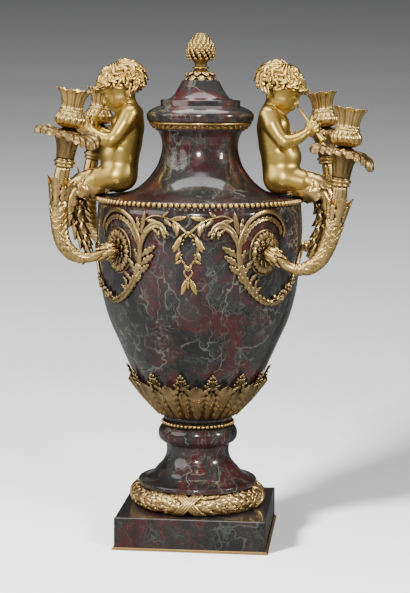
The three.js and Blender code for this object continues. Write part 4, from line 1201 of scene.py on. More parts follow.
def scroll_mount():
    """The mount round the front right rosette."""
    cast = Cast()
    arch = [(37, 18, 1.4), (36.5, 28, 2.4), (31, 40, 3), (18.5, 50.3, 3.3), (4.3, 53.8, 3.4)]
    arch += [(-11, 50.8, 3.4)]
    stem = [(-25.5, 41.5, 3.4), (-34.5, 28.5, 3.6), (-39, 15.2, 4), (-39.5, -1.3, 4.6), (-35.5, -21.3, 5)]
    ribbon(cast, arch + stem, 5.4, columns=11, groove=0.1, count=80)
    inside = [(a * 0.86 - 0.8, u * 0.84 - 0.6, w * 1.35) for a, u, w in arch[1:] + stem[:3]]
    ribbon(cast, inside, 3.6, notches=13, groove=0.5, count=130)
    foot = [(-38, -8, 5), (-33, -27, 6.5), (-25, -41, 7), (-13, -54, 6.6), (0, -62.5, 6), (17.6, -69, 5.4)]
    foot += [(36, -68, 5), (50, -60, 4.6), (60, -50, 4.2), (68, -39, 4)]
    ribbon(cast, foot, 5.4, columns=11, notches=17, count=130, ribs=3)
    strap = [(52, -61, 4), (62, -50, 4.4), (71, -38, 4.4), (79, -26, 4.2), (89, -13, 3.9), (102, -4, 3.6)]
    ribbon(cast, strap + [(112, -1, 3.4)], 3.6, columns=13, groove=0.75, count=50)
    under = [(12, -70, 3), (0, -66, 3.6), (-14, -57, 3.6), (-27, -43, 3.2), (-36, -27, 2.5)]
    ribbon(cast, under, 6.6, columns=7, notches=7, groove=0.2)

    outside = (-38, -6, 148, 30, 12), (-37, -18, 145, 28, 12), (-34, -30, 141, 24, 11), (-27, -42, 137, 18, 9)
    mount_leaves(cast, 4, 0.3, 1.6, *outside, (-36, 10, 128, 22, 9))
    within = (-31, -28, 63, 23, 10), (-23, -40, 52, 17, 8), (-37, -14, 75, 20, 8), (-39, 0, 84, 22, 8)
    mount_leaves(cast, 3, 0.35, 2.0, *within, (-37, 18, 72, 15, 6), (-12, -53, 44, 12, 7))
    mount_leaves(cast, 0, 0.2, 1.6, (-40.5, 22, 101, 35, 9))
    mount_leaves(cast, 3, 0.25, 1.8, (-38.5, 22, 82, 25, 8))
    mount_leaves(cast, 3, 0.2, 2.6, (-41, 8, 110, 24, 9))

    hook = [(-39, 4, 3), (-43.5, 17, 4.2), (-50, 29, 5.2), (-61, 36.5, 5.8), (-70.5, 35, 5.6)]
    ribbon(cast, hook + [(-74, 27.5, 4.8), (-70, 21.5, 3.6)], 5.6, columns=11, groove=0.35, count=54)
    hanging = (-72, 33, 250, 15, 8), (-75, 32, 232, 11, 6), (-68, 31, 268, 12, 6), (-57, 34, 218, 14, 6)
    mount_leaves(cast, 3, 0.2, 3.4, *hanging)
    beads(cast, mount_point(np.array([-67.5]), np.array([25.0]), 4.2), 3.2, 10)

    sprig = [(-39, 26, 1.6), (-42, 36, 1.7), (-50, 45, 1.7), (-61, 49, 1.7), (-73, 47, 1.6), (-84, 43.5, 1.5)]
    ribbon(cast, sprig + [(-95, 36, 1.4)], 2.6, columns=7, groove=0, count=48)
    laurel = (-48, 43, 188, 19, 8), (-70, 46, 138, 14, 6.5), (-74, 46, 226, 16, 7.5), (-82, 44, 164, 18, 7)
    mount_leaves(cast, 0, 0.22, 1.8, *laurel, (-87, 42, 262, 15, 7))

    curl = [(-6, -56, 3), (-11.5, -49, 2.6), (-12.5, -41.5, 2.3), (-8.5, -36, 2.1), (-4.5, -38.5, 1.7)]
    ribbon(cast, curl, 3.6, groove=0.2, count=30)
    rng = np.random.default_rng(5)
    for middle, count in (((41, -60), 9), ((54, -50), 6), ((27, -62), 4)):
        place = np.array(middle) + rng.uniform(-6, 6, (count, 2))
        proud = 3.4 + rng.uniform(0, 2, count)
        beads(cast, mount_point(place[:, 0], place[:, 1], proud), rng.uniform(2.2, 2.9, count))
    vine = (30, -64, 60, 13, 6), (48, -58, 100, 14, 6), (20, -66, 34, 11, 5), (60, -50, 66, 16, 7)
    mount_leaves(cast, 3, 0.4, 2.6, *vine, (60, -48, 20, 13, 6))
    return cast


def pendant():
    """The small laurel wreath in the middle of the front."""
    cast = Cast()
    away = -ROSETTE_ANGLE * PER_DEGREE
    bow = [(23, 45.5, 1.4), (13, 38, 1.7), (3, 28.5, 2.0), (-6, 21, 1.5)]
    wreath = [(1, 29, 1.8), (9, 22, 1.9), (12.5, 9, 2.0), (10, -5, 1.9), (3, -15, 1.8), (-4.5, -22, 1.8)]
    wreath += [(-4, -28, 1.8), (2, -34, 1.7), (5, -43, 1.4)]
    leaves = (19, 44, 165, 18, 8), (15, 40, -92, 18, 8), (9, 24, -66, 25, 10), (12, 14, -40, 13, 7)
    leaves += (12, 3, -72, 14, 7), (8, -8, -30, 11, 6), (5, -14, -120, 11, 6)
    for side in (-1, 1):
        ribbon(cast, [(side * x, y, w) for x, y, w in bow], 3, away)
        ribbon(cast, [(side * x, y, w) for x, y, w in wreath], 3.2, away, notches=14, count=90)
        for x, y, aim, *size in (*leaves, (2, -33, -66 if side > 0 else -72, 24, 9.5)):
            mount_leaves(cast, 0, 0.25, 1.6, (away + side * x, y, aim if side > 0 else 180 - aim, *size))
        across, up = away + side * np.array([7.5, 9.5, 6, 8.5]), np.array([13.0, 17, 18, -1])
        beads(cast, mount_point(across, up, 2.6), 1.6)
    beads(cast, mount_point(np.full(3, away), np.array([27.5, -17.5, -33]), 3.6), [3, 2.6, 2.8], 10)
    mount_leaves(cast, 0, 0.2, 2.2, (away, -34, -90, 13, 5))
    return cast


def rosette():
    """The front right rosette: rings of petals over an oval dome, with a calyx round the branch's root."""
    cast = Cast()
    wide, tall = 24.8 / 28, 30.8 / 28

    def lay(p):
        return mount_point(p[..., 0] * wide, p[..., 1] * tall, p[..., 2])

    dome = np.array([(0, 0.4), (26.4, 0.4), (27.2, 1.6), (26.2, 2.8), (23, 3.2), (14, 4.6), (0, 5)])
    angle = np.arange(72)[None, :] / 72 * TURN
    # The dome takes the second, darkened gilding, which paints the shade under the petals.
    cast.shell([lay(round_sheet(dome[:, :1], angle, dome[:, 1:]))], 1, (False, True))
    ring = Path([(27 * math.cos(a), 27 * math.sin(a), 2.0) for a in np.linspace(0, TURN, 60)], 90, (0, 0, 1))
    share, turn = np.meshgrid(np.linspace(0, 1, 90), np.arange(8) / 8 * TURN, indexing="ij")
    cast.shell([lay(ring.at(share, turn, np.full(share.shape, 1.3)))], 0, (False, True))
    for count, start, length, width, curl, lift, lobes, shift in (
        (12, 9, 18, 12.5, 0.3, 3.4, 0, 0),
        (12, 12, 14.5, 7, 0.25, 3.2, 0, 0.5),
        (10, 4, 15, 9.5, 0.7, 4.6, 3, 0.5),
        (8, 2, 12, 9, 1.05, 5.4, 3, 0.2),
    ):
        for i in range(count):
            out = outward((i + shift) / count * TURN)
            bend = {"rise": 2.0, "thick": 0.7, "curl": curl, "cup": 0.8}
            veins = 0 if lobes else 1
            blade = leaf(length, width, lobes, 0.35, **bend, fine=(11, 7), full=0.62, root=0.35, veins=veins)
            place = stand(out * start + [0, 0, lift], out, (0, 0, 1))
            set_leaf(cast, blade, lambda p: lay(place(p)))
    return cast


def quarter_turns(cast, name, finishes, nodes):
    """Places a front right piece at the four corners: mirrored on the left and turned round for the back."""
    left = cast.mirrored()
    for tail, made in (
        ("front_right", cast),
        ("front_left", left),
        ("back_left", cast.moved(half_turn)),
        ("back_right", left.moved(half_turn)),
    ):
        made.piece(f"{name}_{tail}", finishes, [f"{nodes}_{tail}"])


class VASE_OT_scrolls(bpy.types.Operator):
    """Make the four scroll mounts"""

    bl_idname = "vase.scrolls"
    bl_label = "Scroll mounts"

    def execute(self, context):
        quarter_turns(scroll_mount(), "scroll_mount", ["Gilt shaded"], "scroll")
        return {"FINISHED"}


class VASE_OT_rosettes(bpy.types.Operator):
    """Make the four rosettes"""

    bl_idname = "vase.rosettes"
    bl_label = "Rosettes"

    def execute(self, context):
        quarter_turns(rosette(), "rosette_petals", ["Gilt shaded", "Gilt painted recess shade"], "rosette")
        return {"FINISHED"}


class VASE_OT_pendants(bpy.types.Operator):
    """Make the laurel pendants of the front and the back"""

    bl_idname = "vase.pendants"
    bl_label = "Pendants"

    def execute(self, context):
        front = pendant()
        front.piece("pendant_laurel_front", ["Gilt chased"], ["pendant_front"])
        front.moved(half_turn).piece("pendant_laurel_back", ["Gilt chased"], ["pendant_back"])
        return {"FINISHED"}


# Candle branches

# How far each branch leans outwards, in degrees
LEANS = {"front_left": 0, "front_right": 15, "back_left": 0, "back_right": 2}
ARM_REACH, ARM_RISE, ARM_SAG = 71.5, 118.5, 10
TOP_TILT = 8
# Where each pan's hanging lobe is, in radians from outwards, and how far it hangs
DROOPS = {"front_left": (3.7, 11), "front_right": (-0.2, 16), "back_left": (2.6, 8), "back_right": (0.3, 7)}
# How far above the branch's tip the pan and the nozzle stand
PAN_SEAT, NOZZLE_SEAT = 3.3, 43.6


class Arm:
    """One candle branch: its line, and the frame of the pan and nozzle that stand on it."""

    def __init__(self, corner):
        self.forward = -1 if corner.startswith("front") else 1
        self.outward = 1 if corner.endswith("right") else -1
        lean = math.radians(LEANS[corner])
        turn = math.radians(ROSETTE_ANGLE)
        root = body_radius(ROSETTE_LEVEL) + 9.5
        self.pivot = np.array(
            [self.outward * root * math.sin(turn), self.forward * root * math.cos(turn), ROSETTE_LEVEL]
        )
        out, on = self.outward, self.forward
        self.spin = self.about_y(out * lean)
        start = 0.5 + 7 * math.sin(lean)
        normal = np.array([out * math.sin(turn), on * math.cos(turn), 0])
        at = lambda o, a, u: np.array([ARM_REACH * o * out, on * a, ARM_RISE * u])
        sag = -ARM_SAG / ARM_RISE
        line = [self.spin @ (normal * reach) for reach in (start - 6, start + 2, 9)]
        bend = [(0.42, 6, 0.95 * sag), (0.68, 7, 0.8 * sag), (0.91, 8, 0.06)]
        bend += [(1, 8, 0.26), (1.01, 8, 0.55), (0.97, 8, 0.8), (0.9, 8, 1)]
        line += [self.spin @ at(*p) for p in bend]
        self.path = Path(np.array(line) + self.pivot, 220, (0, on, 0))
        self.tip = self.path.points[-1]
        self.tilt = self.about_y(out * lean) @ self.about_y(-out * math.radians(TOP_TILT))

    @staticmethod
    def about_y(angle):
        c, s = math.cos(angle), math.sin(angle)
        return np.array([[c, 0, s], [0, 1, 0], [-s, 0, c]])

    def top(self, p):
        """Points of the pan and nozzle, given from the branch's tip with +X outwards."""
        flip = np.array([self.outward, -self.forward, 1])
        return (p * flip) @ self.tilt.T + self.tip


def arm_radius(share):
    return np.interp(share, [0, 0.12, 0.3, 0.5, 0.72, 0.8, 1], [7.6, 6.2, 6.8, 8.8, 10.2, 10.4, 9.6])


def make_arm(corner):
    """A branch: a feathered and fluted tube with a knop on top, and leaves laid along it."""
    arm = Arm(corner)
    path = arm.path
    cast = Cast()

    def skin(share, angle):
        wrap = ramp(share, 0.27, 0.33) * (1 - ramp(share, 0.7, 0.75))
        flute = ramp(share, 0.72, 0.76) * (1 - ramp(share, 0.985, 0.99))
        back = np.abs(((angle / TURN + 0.75) % 1) - 0.5) * 2
        feather = np.abs(np.sin(math.pi * (24 * share + 4.5 * back))) ** 0.7
        seam = np.exp(-(((back - 0.02) / 0.1) ** 2)) + np.exp(-(((back - 0.98) / 0.08) ** 2))
        size = arm_radius(share) + wrap * (0.2 + 2.1 * feather * (1 - 0.5 * seam) + 1.4 * seam)
        size = size - flute * 1.5 * (1 - np.abs(np.cos(4.5 * angle)) ** 0.6)
        for middle, high in ((0.045, 2.6), (0.075, 1.5), (0.26, 2.6), (0.283, 1.6)):
            size = size + high * bump(share, middle, 0.008)
        return size - 1.4 * ramp(share, 0.94, 0.97)

    tube(cast, path, skin, 36, 0, 180)
    knop = [(0, -9), (9.5, -8.5), (12.2, -7.6), (13.4, -6), (12.2, -4.6), (11.4, -3.9), (13.4, -2.9)]
    knop += [(14.8, -1), (13.6, 1), (11.2, 1.8), (12.4, 2.4), (11.6, 3.1), (0, 3.1)]
    ring = Cast()
    turned(ring, knop, 32)
    ring = ring.moved(arm.top)
    cast.add(ring.points[0], ring.quads[0])

    def blade_on(share, turn, length, width, lobes, curl, lift, aim=0.0, **shape):
        fine = (max(12, lobes * 4 + 5), 11 if "veins" in shape else 7)
        shape = {"rise": 1.5, "full": 0.5, **shape}
        blade = leaf(length, width, lobes, 0.38, thick=0.8, curl=curl, fine=fine, **shape)
        set_leaf(cast, blade, path_place(path, arm_radius, share, turn, aim, lift, 2))

    for i in range(6):
        blade_on(0.02, i / 6 * TURN, 20, 10, 3, 0.5, 1.6, root=0.5)
        blade_on(0.045, (i + 0.5) / 6 * TURN, 24, 8, 0, 0.12, 1.0, rise=1.2, full=0.4, root=0.6, veins=1)
    for step in range(5):
        for side in (-1, 1):
            turn = 0.5 * TURN + side * (1.1 + 0.5 * step)
            blade_on(0.3 + 0.075 * step, turn, 32, 11, 4, 0.12, 0.8, side * 0.7, rise=1.3, root=0.5)
    for i, (length, curl, start) in enumerate(
        ((42, 0.8, 0.69), (34, 0.7, 0.72), (44, 0.95, 0.68), (34, 0.7, 0.72))
    ):
        blade_on(start, i / 4 * TURN, length, 15, 4, curl, 1.4, rise=1.8, full=0.45, root=0.75, veins=1)
    for i in range(4):
        blade_on(0.72, (i + 0.5) / 4 * TURN, 23, 13, 3, 0.4, 1.4, root=0.5)
    return cast, arm


def make_pan(arm, droop):
    """A pan like an open flower on a trumpet: its lobes are frilled, and one of them hangs down."""
    petals = sizes().pan_petals
    angle = np.linspace(0, TURN, 151)[None, :-1]
    share = np.linspace(0, 1, 34)[:, None]
    rng = np.random.default_rng(11)
    wave = sum(rng.uniform(0.5, 1) * np.sin(k * angle + rng.uniform(0, TURN)) for k in (2, 3, 5)) / 2.2
    phase = petals * angle / 2 + 0.25 * wave
    lobe = 1 - np.exp(-((np.cos(phase) / 0.38) ** 2)) * 0.9
    frill = np.cos(8 * phase)
    spots = [0, 0.12, 0.24, 0.36, 0.48, 0.6, 0.72, 0.84, 0.93, 1]
    radius = np.interp(share, spots, [12, 12.8, 14.2, 17, 21.5, 27.5, 34, 40, 43.3, 44.7])
    height = np.interp(share, spots, [0, 9, 18, 26.5, 32.5, 35.6, 36.4, 35.6, 33.2, 30])
    open_out = ramp(share, 0.5, 1.0)
    reach = radius * (1 - open_out * 0.2 * (1 - lobe)) + 1.1 * frill * ramp(share, 0.72, 1)
    reach = reach - 1.0 * (1 - open_out) * (1 - np.abs(np.cos(phase * 2))) * ramp(share, 0.02, 0.15)
    level = height + open_out * (2.4 * (1 - lobe) + 3.4 * wave) + 1.7 * frill * ramp(share, 0.66, 1)
    rib = 0.5 * np.abs(np.cos(4 * phase)) * (0.35 + 0.65 * ramp(share, 0, 0.5))
    where, drop = droop
    hang = drop * bump((angle - where + math.pi) % TURN - math.pi, 0.0, 0.95) * ramp(share, 0.4, 1.05)
    level, reach = level - hang, reach - 0.3 * hang
    thick = sizes().bronze_thickness / MM
    rim = 1 - 0.75 * ramp(share, 0.93, 1.0)
    under = round_sheet(reach + 0.5 * rib, angle, level - rib * rim)
    top = level + thick * rim * (0.5 + 0.8 * open_out) + 0.6 * rib * rim + (1 - ramp(share, 0, 0.3)) * 2
    upper = round_sheet(np.maximum(reach - thick * (1.0 - open_out), 1), angle, top)
    cast = Cast()
    cast.shell([np.concatenate([under, upper[::-1]])], 0, (True, True))
    plug = [(0, 0.3), (9.6, 0.3), (11.4, 17), (14, 27), (17, 32), (17.5, 35.8), (13, 37.4)]
    turned(cast, plug + [(10.2, 39), (9, 40.1), (0, 40.1)], 28)
    for block in cast.points:
        block[:, 2] += PAN_SEAT
    return cast.moved(arm.top)


def make_nozzle(arm):
    """A candle nozzle: a gadrooned bulb under a fluted cup with a leafy lip."""
    count = sizes().nozzle_gadroons
    outline = [(8, 0), (10.5, 0.4), (15.5, 2.4), (19.2, 5.6), (21.0, 9.8), (20.8, 14), (18.6, 18)]
    outline += [(16.6, 20.2), (16.2, 21.4), (17.0, 22.6), (16.2, 24), (15.2, 25.2), (14.8, 29), (15.2, 34)]
    outline += [(16.6, 39.5), (19.2, 45), (22.4, 49.5), (24.0, 52.0)]
    line = even_line(smooth_line(outline, 6), 52)
    inside = [(22.6, 52.0), (18.5, 48.5), (14.2, 45.5), (11.2, 45), (11.0, 44), (11.0, 22.2), (0, 22)]
    profile = np.vstack([[(0, 0.2)], line, inside])
    sides = 168
    angle = np.arange(sides)[None, :] / sides * TURN
    radius = np.repeat(profile[:, :1], sides, 1)
    height = np.repeat(profile[:, 1:], sides, 1)
    outer = (np.arange(len(profile)) <= len(line))[:, None]
    bulb = outer * ramp(height, 0.5, 4) * (1 - ramp(height, 18.5, 20.5))
    cup = outer * ramp(height, 24.5, 27)
    gadroon = np.abs(np.sin(count * (angle + 0.012 * (height - 10)) / 2)) ** 0.55
    radius = radius - bulb * 2.4 * (1 - gadroon)
    beadlet = outer * bump(height, 22.2, 1.3) * (np.abs(np.sin(count * 1.5 * angle)) - 1)
    radius = radius + beadlet * 1.2
    blade = np.abs(np.cos(4 * angle)) ** 0.55
    fine = np.abs(np.cos(12 * angle))
    flare = ramp(height, 36, 52)
    radius = radius - cup * (2.2 * (1 - blade) + 0.9 * (1 - fine)) * (1 + 0.6 * flare)
    lip = ramp(height, 47, 51.5) * (profile[:, :1] > 12)
    height = height - lip * (4.5 * (1 - blade) + 0.8 * (1 - fine))
    radius = radius - lip * 1.6 * (1 - blade)
    cast = Cast()
    cast.shell([round_sheet(radius, angle, height + NOZZLE_SEAT)], 0, (False, True))
    return cast.moved(arm.top)


class VASE_OT_branches(bpy.types.Operator):
    """Make the four candle branches with their pans and nozzles"""

    bl_idname = "vase.branches"
    bl_label = "Candle branches"

    def execute(self, context):
        for corner in LEANS:
            cast, arm = make_arm(corner)
            cast.piece(f"branch_leafy_{corner}", ["Gilt chased"], [f"branch_{corner}"])
            pan = make_pan(arm, DROOPS[corner])
            # The pans take a gilding with its tint lowered, which paints the shade on them.
            pan.piece(f"pan_flower_{corner}", ["Gilt painted deep shade"], [f"pan_{corner}"])
            make_nozzle(arm).piece(f"nozzle_cup_{corner}", ["Gilt chased"], [f"nozzle_{corner}"])
        return {"FINISHED"}


# Figures, modelled in clay: a block of distances in which shapes join softly


def string_distances(p, points):
    """For each length of a string of points, how far p is from it and the share along it that is nearest."""
    for a, b in zip(points[:-1], points[1:]):
        line = b - a
        t = np.clip((p - a) @ line / max(line @ line, 1e-9), 0, 1)
        yield np.linalg.norm(p - a - t[..., None] * line, axis=-1), t


class Clay:
    """A grid of distances to a surface, in millimetres and below 0 inside it."""

    def __init__(self, low, high, cell):
        self.low, self.cell = np.array(low, float), cell
        count = np.ceil((np.array(high) - self.low) / cell).astype(int) + 1
        self.field = np.full(count, 40, np.float32)
        self.axes = [self.low[k] + np.arange(count[k]) * cell for k in range(3)]

    def near(self, low, high):
        """The part of the block between two corners, and its points."""
        cuts = []
        for k in range(3):
            a, b = np.searchsorted(self.axes[k], (low[k], high[k]))
            cuts.append(slice(max(0, a - 1), b + 1))
        grid = np.meshgrid(*(self.axes[k][cuts[k]] for k in range(3)), indexing="ij")
        return tuple(cuts), np.stack(grid, -1).astype(np.float32)

    def join(self, cuts, shape, soft, carve):
        """Adds a shape to this part of the block, or carves it away."""
        sign = -1 if carve else 1
        old = sign * self.field[cuts]
        mix = np.clip(0.5 + 0.5 * (old - shape) / soft, 0, 1)
        self.field[cuts] = sign * (old + (shape - old) * mix - soft * mix * (1 - mix))

    def ball(self, middle, radii, soft, axes=None, carve=False):
        """An ellipsoid, added or carved away; the rows of axes turn it."""
        middle, radii = np.asarray(middle, float), np.ones(3) * radii
        reach = radii.max() + soft + 2
        cuts, p = self.near(middle - reach, middle + reach)
        q = p - middle.astype(np.float32)
        if axes is not None:
            q = q @ np.asarray(axes, np.float32).T
        first = np.linalg.norm(q / radii, axis=-1)
        second = np.maximum(np.linalg.norm(q / radii**2, axis=-1), 1e-6)
        self.join(cuts, first * (first - 1) / second, soft, carve)

    def limb(self, points, radii, soft):
        """A string of round tapering lengths through the points."""
        points = np.asarray(points, float)
        reach = max(radii) + soft + 2
        cuts, p = self.near(points.min(axis=0) - reach, points.max(axis=0) + reach)
        ends = zip(string_distances(p, points), radii[:-1], radii[1:])
        shape = np.minimum.reduce([d - (ra + (rb - ra) * t) for (d, t), ra, rb in ends])
        self.join(cuts, shape, soft, False)

    def crease(self, points, depth, width):
        """A soft groove along the points."""
        points = smooth_line(points, 5)
        cuts, p = self.near(points.min(axis=0) - 3 * width, points.max(axis=0) + 3 * width)
        best = np.minimum.reduce([d for d, _ in string_distances(p, points)])
        self.field[cuts] += depth * np.exp(-((best / width) ** 2))

    def skin(self, cast):
        """Adds the surface of the clay to a cast."""
        f = self.field
        near = [(i, j, k) for i in (0, 1) for j in (0, 1) for k in (0, 1)]
        size = np.array(f.shape) - 1
        corner = {c: f[c[0] : c[0] + size[0], c[1] : c[1] + size[1], c[2] : c[2] + size[2]] for c in near}
        count = sum((v < 0).astype(np.int8) for v in corner.values())
        mixed = (count > 0) & (count < 8)
        index = np.full(mixed.shape, -1)
        index[mixed] = np.arange(mixed.sum())
        total, number = np.zeros((mixed.sum(), 3)), np.zeros(mixed.sum())
        picked = {c: v[mixed] for c, v in corner.items()}
        for a in near:
            for axis in range(3):
                if a[axis]:
                    continue
                b = tuple(1 if k == axis else a[k] for k in range(3))
                fa, fb = picked[a], picked[b]
                crosses = (fa < 0) != (fb < 0)
                t = np.where(crosses, fa / np.where(crosses, fa - fb, 1), 0)
                spot = np.array(a, float) + np.outer(t, np.eye(3)[axis])
                total += spot * crosses[:, None]
                number += crosses
        points = self.low + (np.argwhere(mixed) + total / number[:, None]) * self.cell
        quads = []
        for axis in range(3):
            one, two = [k for k in range(3) if k != axis]
            first = np.take(f, range(f.shape[axis] - 1), axis) < 0
            second = np.take(f, range(1, f.shape[axis]), axis) < 0
            change = first != second
            spots = np.argwhere(change)
            spots = spots[(spots[:, one] > 0) & (spots[:, two] > 0)]
            spots = spots[(spots[:, one] < size[one]) & (spots[:, two] < size[two])]
            ring = []
            for d1, d2 in ((0, 0), (-1, 0), (-1, -1), (0, -1)):
                s = spots.copy()
                s[:, one] += d1
                s[:, two] += d2
                ring.append(index[tuple(s.T)])
            ring = np.stack(ring, -1)
            flip = first[tuple(spots.T)] ^ (axis == 1)
            quads.append(np.where(flip[:, None], ring[:, ::-1], ring))
        cast.add(points, np.vstack(quads))


# The right figure's head: how far it tips down and turns, where its middle is, and its scale
FIGURE_TIP = math.radians(27)
HEAD_TURN = math.radians(-13)
HEAD = np.array([112.5, -0.5, 630.5])
HEAD_SIZE = 1.07


def head_axes():
    """Forward, sideways and up of the right figure's head, which looks down and a little to the front."""
    c, s = math.cos(FIGURE_TIP), math.sin(FIGURE_TIP)
    cz, sz = math.cos(HEAD_TURN), math.sin(HEAD_TURN)
    forward = np.array([c * cz, c * sz, -s])
    up = np.array([s * cz, s * sz, c])
    return np.stack([forward, np.cross(up, forward), up])


HEAD_AXES = head_axes()


def at_head(*place):
    """A point given forwards, sideways and up from the middle of the head."""
    return HEAD + np.asarray(place, float) * HEAD_SIZE @ HEAD_AXES


def child_skin():
    """The right figure without its hair: a plump child blowing two pipes, sitting on the shoulder."""
    clay = Clay((66, -56, 472), (190, 56, 664), 1.5)

    clay.ball((113.5, 0, 532), (26.5, 26, 26), 8)
    clay.ball((100, 0, 573), (22.5, 26, 24), 14)
    clay.ball((104.5, 0, 549), (22, 24, 22), 14)
    clay.ball((109, 0, 514), (21.5, 24, 22), 12)
    for side in (-1, 1):
        clay.ball((109, 11.5 * side, 502), (20, 17, 19.5), 9)
        clay.ball((112, 10 * side, 578), (8.5, 10, 9), 9)
        clay.limb([(119, 13 * side, 503), (140, 13 * side, 499), (160, 10 * side, 489)], [18.5, 16.5, 13], 9)
        clay.ball((94, 16 * side, 588), (12, 13, 14), 10)
    clay.limb([(98, 0, 592), (103, -0.5, 607), (107, -0.5, 618)], [15, 13.2, 13.5], 9)

    for y in (-1, 1):
        upper_arm = [(95.5, 25 * y, 590), (101, 31 * y, 577), (109.5, 35.5 * y, 563), (118, 37.5 * y, 554)]
        clay.limb(upper_arm, [13, 12.6, 11, 9.6], 5)
        forearm = [(118, 37.5 * y, 554), (127, 36 * y, 555.5), (137, 32.5 * y, 560), (146, 29 * y, 566)]
        clay.limb(forearm, [9.4, 9.4, 7.6, 5.7], 4)
        clay.ball((150.5, 26.6 * y, 571), (7.2, 4.6, 6.6), 3.5)
        clay.crease([(142.5, 24 * y, 566.5), (144, 30.5 * y, 560.5), (148, 34.5 * y, 564)], 0.7, 1.5)
        for finger in (
            ((151, 27, 576), (153.5, 25.5, 583.2), (156.5, 19.5, 586.0)),
            ((154, 27, 574), (158.5, 26, 580.2), (160.5, 19.5, 582.2)),
            ((156, 27, 571), (162, 26.5, 575.5), (163.5, 20.5, 577.5)),
            ((155.5, 27, 567.5), (161.5, 27, 569.5), (164, 22, 571.5)),
        ):
            clay.limb(np.array(finger) * [1, y, 1], [3.0, 2.6, 2.2], 1.0)
        thumb = [(147.5, 22.5 * y, 572.5), (147.5, 17.5 * y, 577.5), (150.5, 14.5 * y, 581)]
        clay.limb(thumb, [3.2, 2.7, 2.3], 1.2)

    def head_ball(forward, side, up, radii, soft, carve=False):
        clay.ball(at_head(forward, side, up), np.array(radii) * HEAD_SIZE, soft, HEAD_AXES, carve)

    def head_line(side, *places):
        return [at_head(f, s * side, u) for f, s, u in places]

    head_ball(-2, 0, 2, (27, 23.5, 23), 5)
    head_ball(11, 0, 3, (15.5, 19.5, 16), 6)
    head_ball(7, 0, -13, (18, 18, 16.5), 7)
    for side in (-1, 1):
        head_ball(14.5, 9.5 * side, -15.5, (9, 8.8, 8.4), 5)
        head_ball(5, 12 * side, -18, (10, 7.5, 8), 6)
    head_ball(17.5, 0, -25, (6.5, 6.8, 5.4), 5)
    head_ball(23, 0, -19, (4.5, 7.5, 5.5), 4)
    for side in (-1, 1):
        head_ball(27, 8.8 * side, -5.2, (5.2, 6.2, 4.0), 3.5, True)
        head_ball(20.2, 8.4 * side, -6, (5.0, 5.2, 4.6), 0.8)
        lid = head_line(side, (22.6, 3.9, -6.8), (25.4, 6.6, -5.2), (25.4, 9.4, -4.9), (22.0, 13.4, -7.0))
        clay.limb(smooth_line(lid, 3), np.full(10, 0.9), 0.5)
        low_lid = head_line(side, (22.6, 4.2, -7.6), (24.4, 7.0, -9.4), (24.0, 10, -9.4), (21.6, 13.2, -7.8))
        clay.limb(smooth_line(low_lid, 3), np.full(10, 0.75), 0.6)
        brow = head_line(side, (25.6, 3.5, 0.0), (25.6, 8, 1.8), (22, 13.5, 0.6))
        clay.limb(brow, [1.6, 1.9, 1.3], 3)
        head_ball(25.2, 2.9 * side, -14.2, (2.6, 2.1, 1.9), 1.2)
        head_ball(27.4, 1.7 * side, -15.7, (1.1, 0.9, 0.7), 0.4, True)
    clay.limb([at_head(24.6, 0, -2.5), at_head(26.2, 0, -8), at_head(28.4, 0, -12.6)], [1.9, 2.1, 2.9], 2.4)
    head_ball(26.6, 0, -18.6, (2.6, 4.2, 1.7), 0.9)
    head_ball(25.6, 0, -21.4, (2.5, 3.5, 1.8), 0.9)
    clay.crease([at_head(24.5, -5.2, -20.4), at_head(28.4, 0, -19.9), at_head(24.5, 5.2, -20.4)], 0.9, 0.9)
    clay.crease([at_head(23, -4.5, -23.6), at_head(24.5, 0, -23.8), at_head(23, 4.5, -23.6)], 0.6, 1.6)
    for side in (-1, 1):
        head_ball(-3.5, 21.5 * side, -10, (5, 3.0, 7), 1.5)
        head_ball(-2.0, 24.8 * side, -9.6, (2.6, 1.9, 4.2), 0.8, True)
        clay.limb([at_head(-3, 22.6 * side, -15), at_head(-1.4, 22.0 * side, -16.8)], [2.2, 1.9], 1)

    clay.crease([(78, 0, 592), (79, 0, 570), (86, 0, 545), (88, 0, 525), (91, 0, 512)], 0.8, 3.2)
    clay.crease([(88, 0, 512), (88, 0, 500), (93, 0, 488), (104, 0, 482)], 3.4, 2.8)
    clay.ball((141.5, 0, 527), (2.4, 1.8, 2.2), 1.4, carve=True)
    clay.crease([(133, -20, 514), (138, -10, 511), (139, 0, 510), (138, 10, 511), (133, 20, 514)], 1.3, 2.2)
    for side in (-1, 1):
        clay.crease([(112, 27 * side, 567), (117.5, 20 * side, 568), (121.5, 9 * side, 567.5)], 0.8, 2.2)
        clay.crease([(108, 26 * side, 586), (105.5, 26.5 * side, 577), (104, 26 * side, 566)], 1.3, 1.8)
        clay.crease([(113, 46 * side, 557), (117, 43 * side, 562.5), (122, 38 * side, 565)], 0.8, 1.6)
        clay.crease([(97, 24 * side, 541), (107, 26 * side, 545), (120, 24 * side, 546)], 0.5, 2.5)
        clay.ball((121.2, 10.5 * side, 577.5), (1.1, 1.1, 1.1), 0.8)
    cast = Cast()
    clay.skin(cast)
    return cast


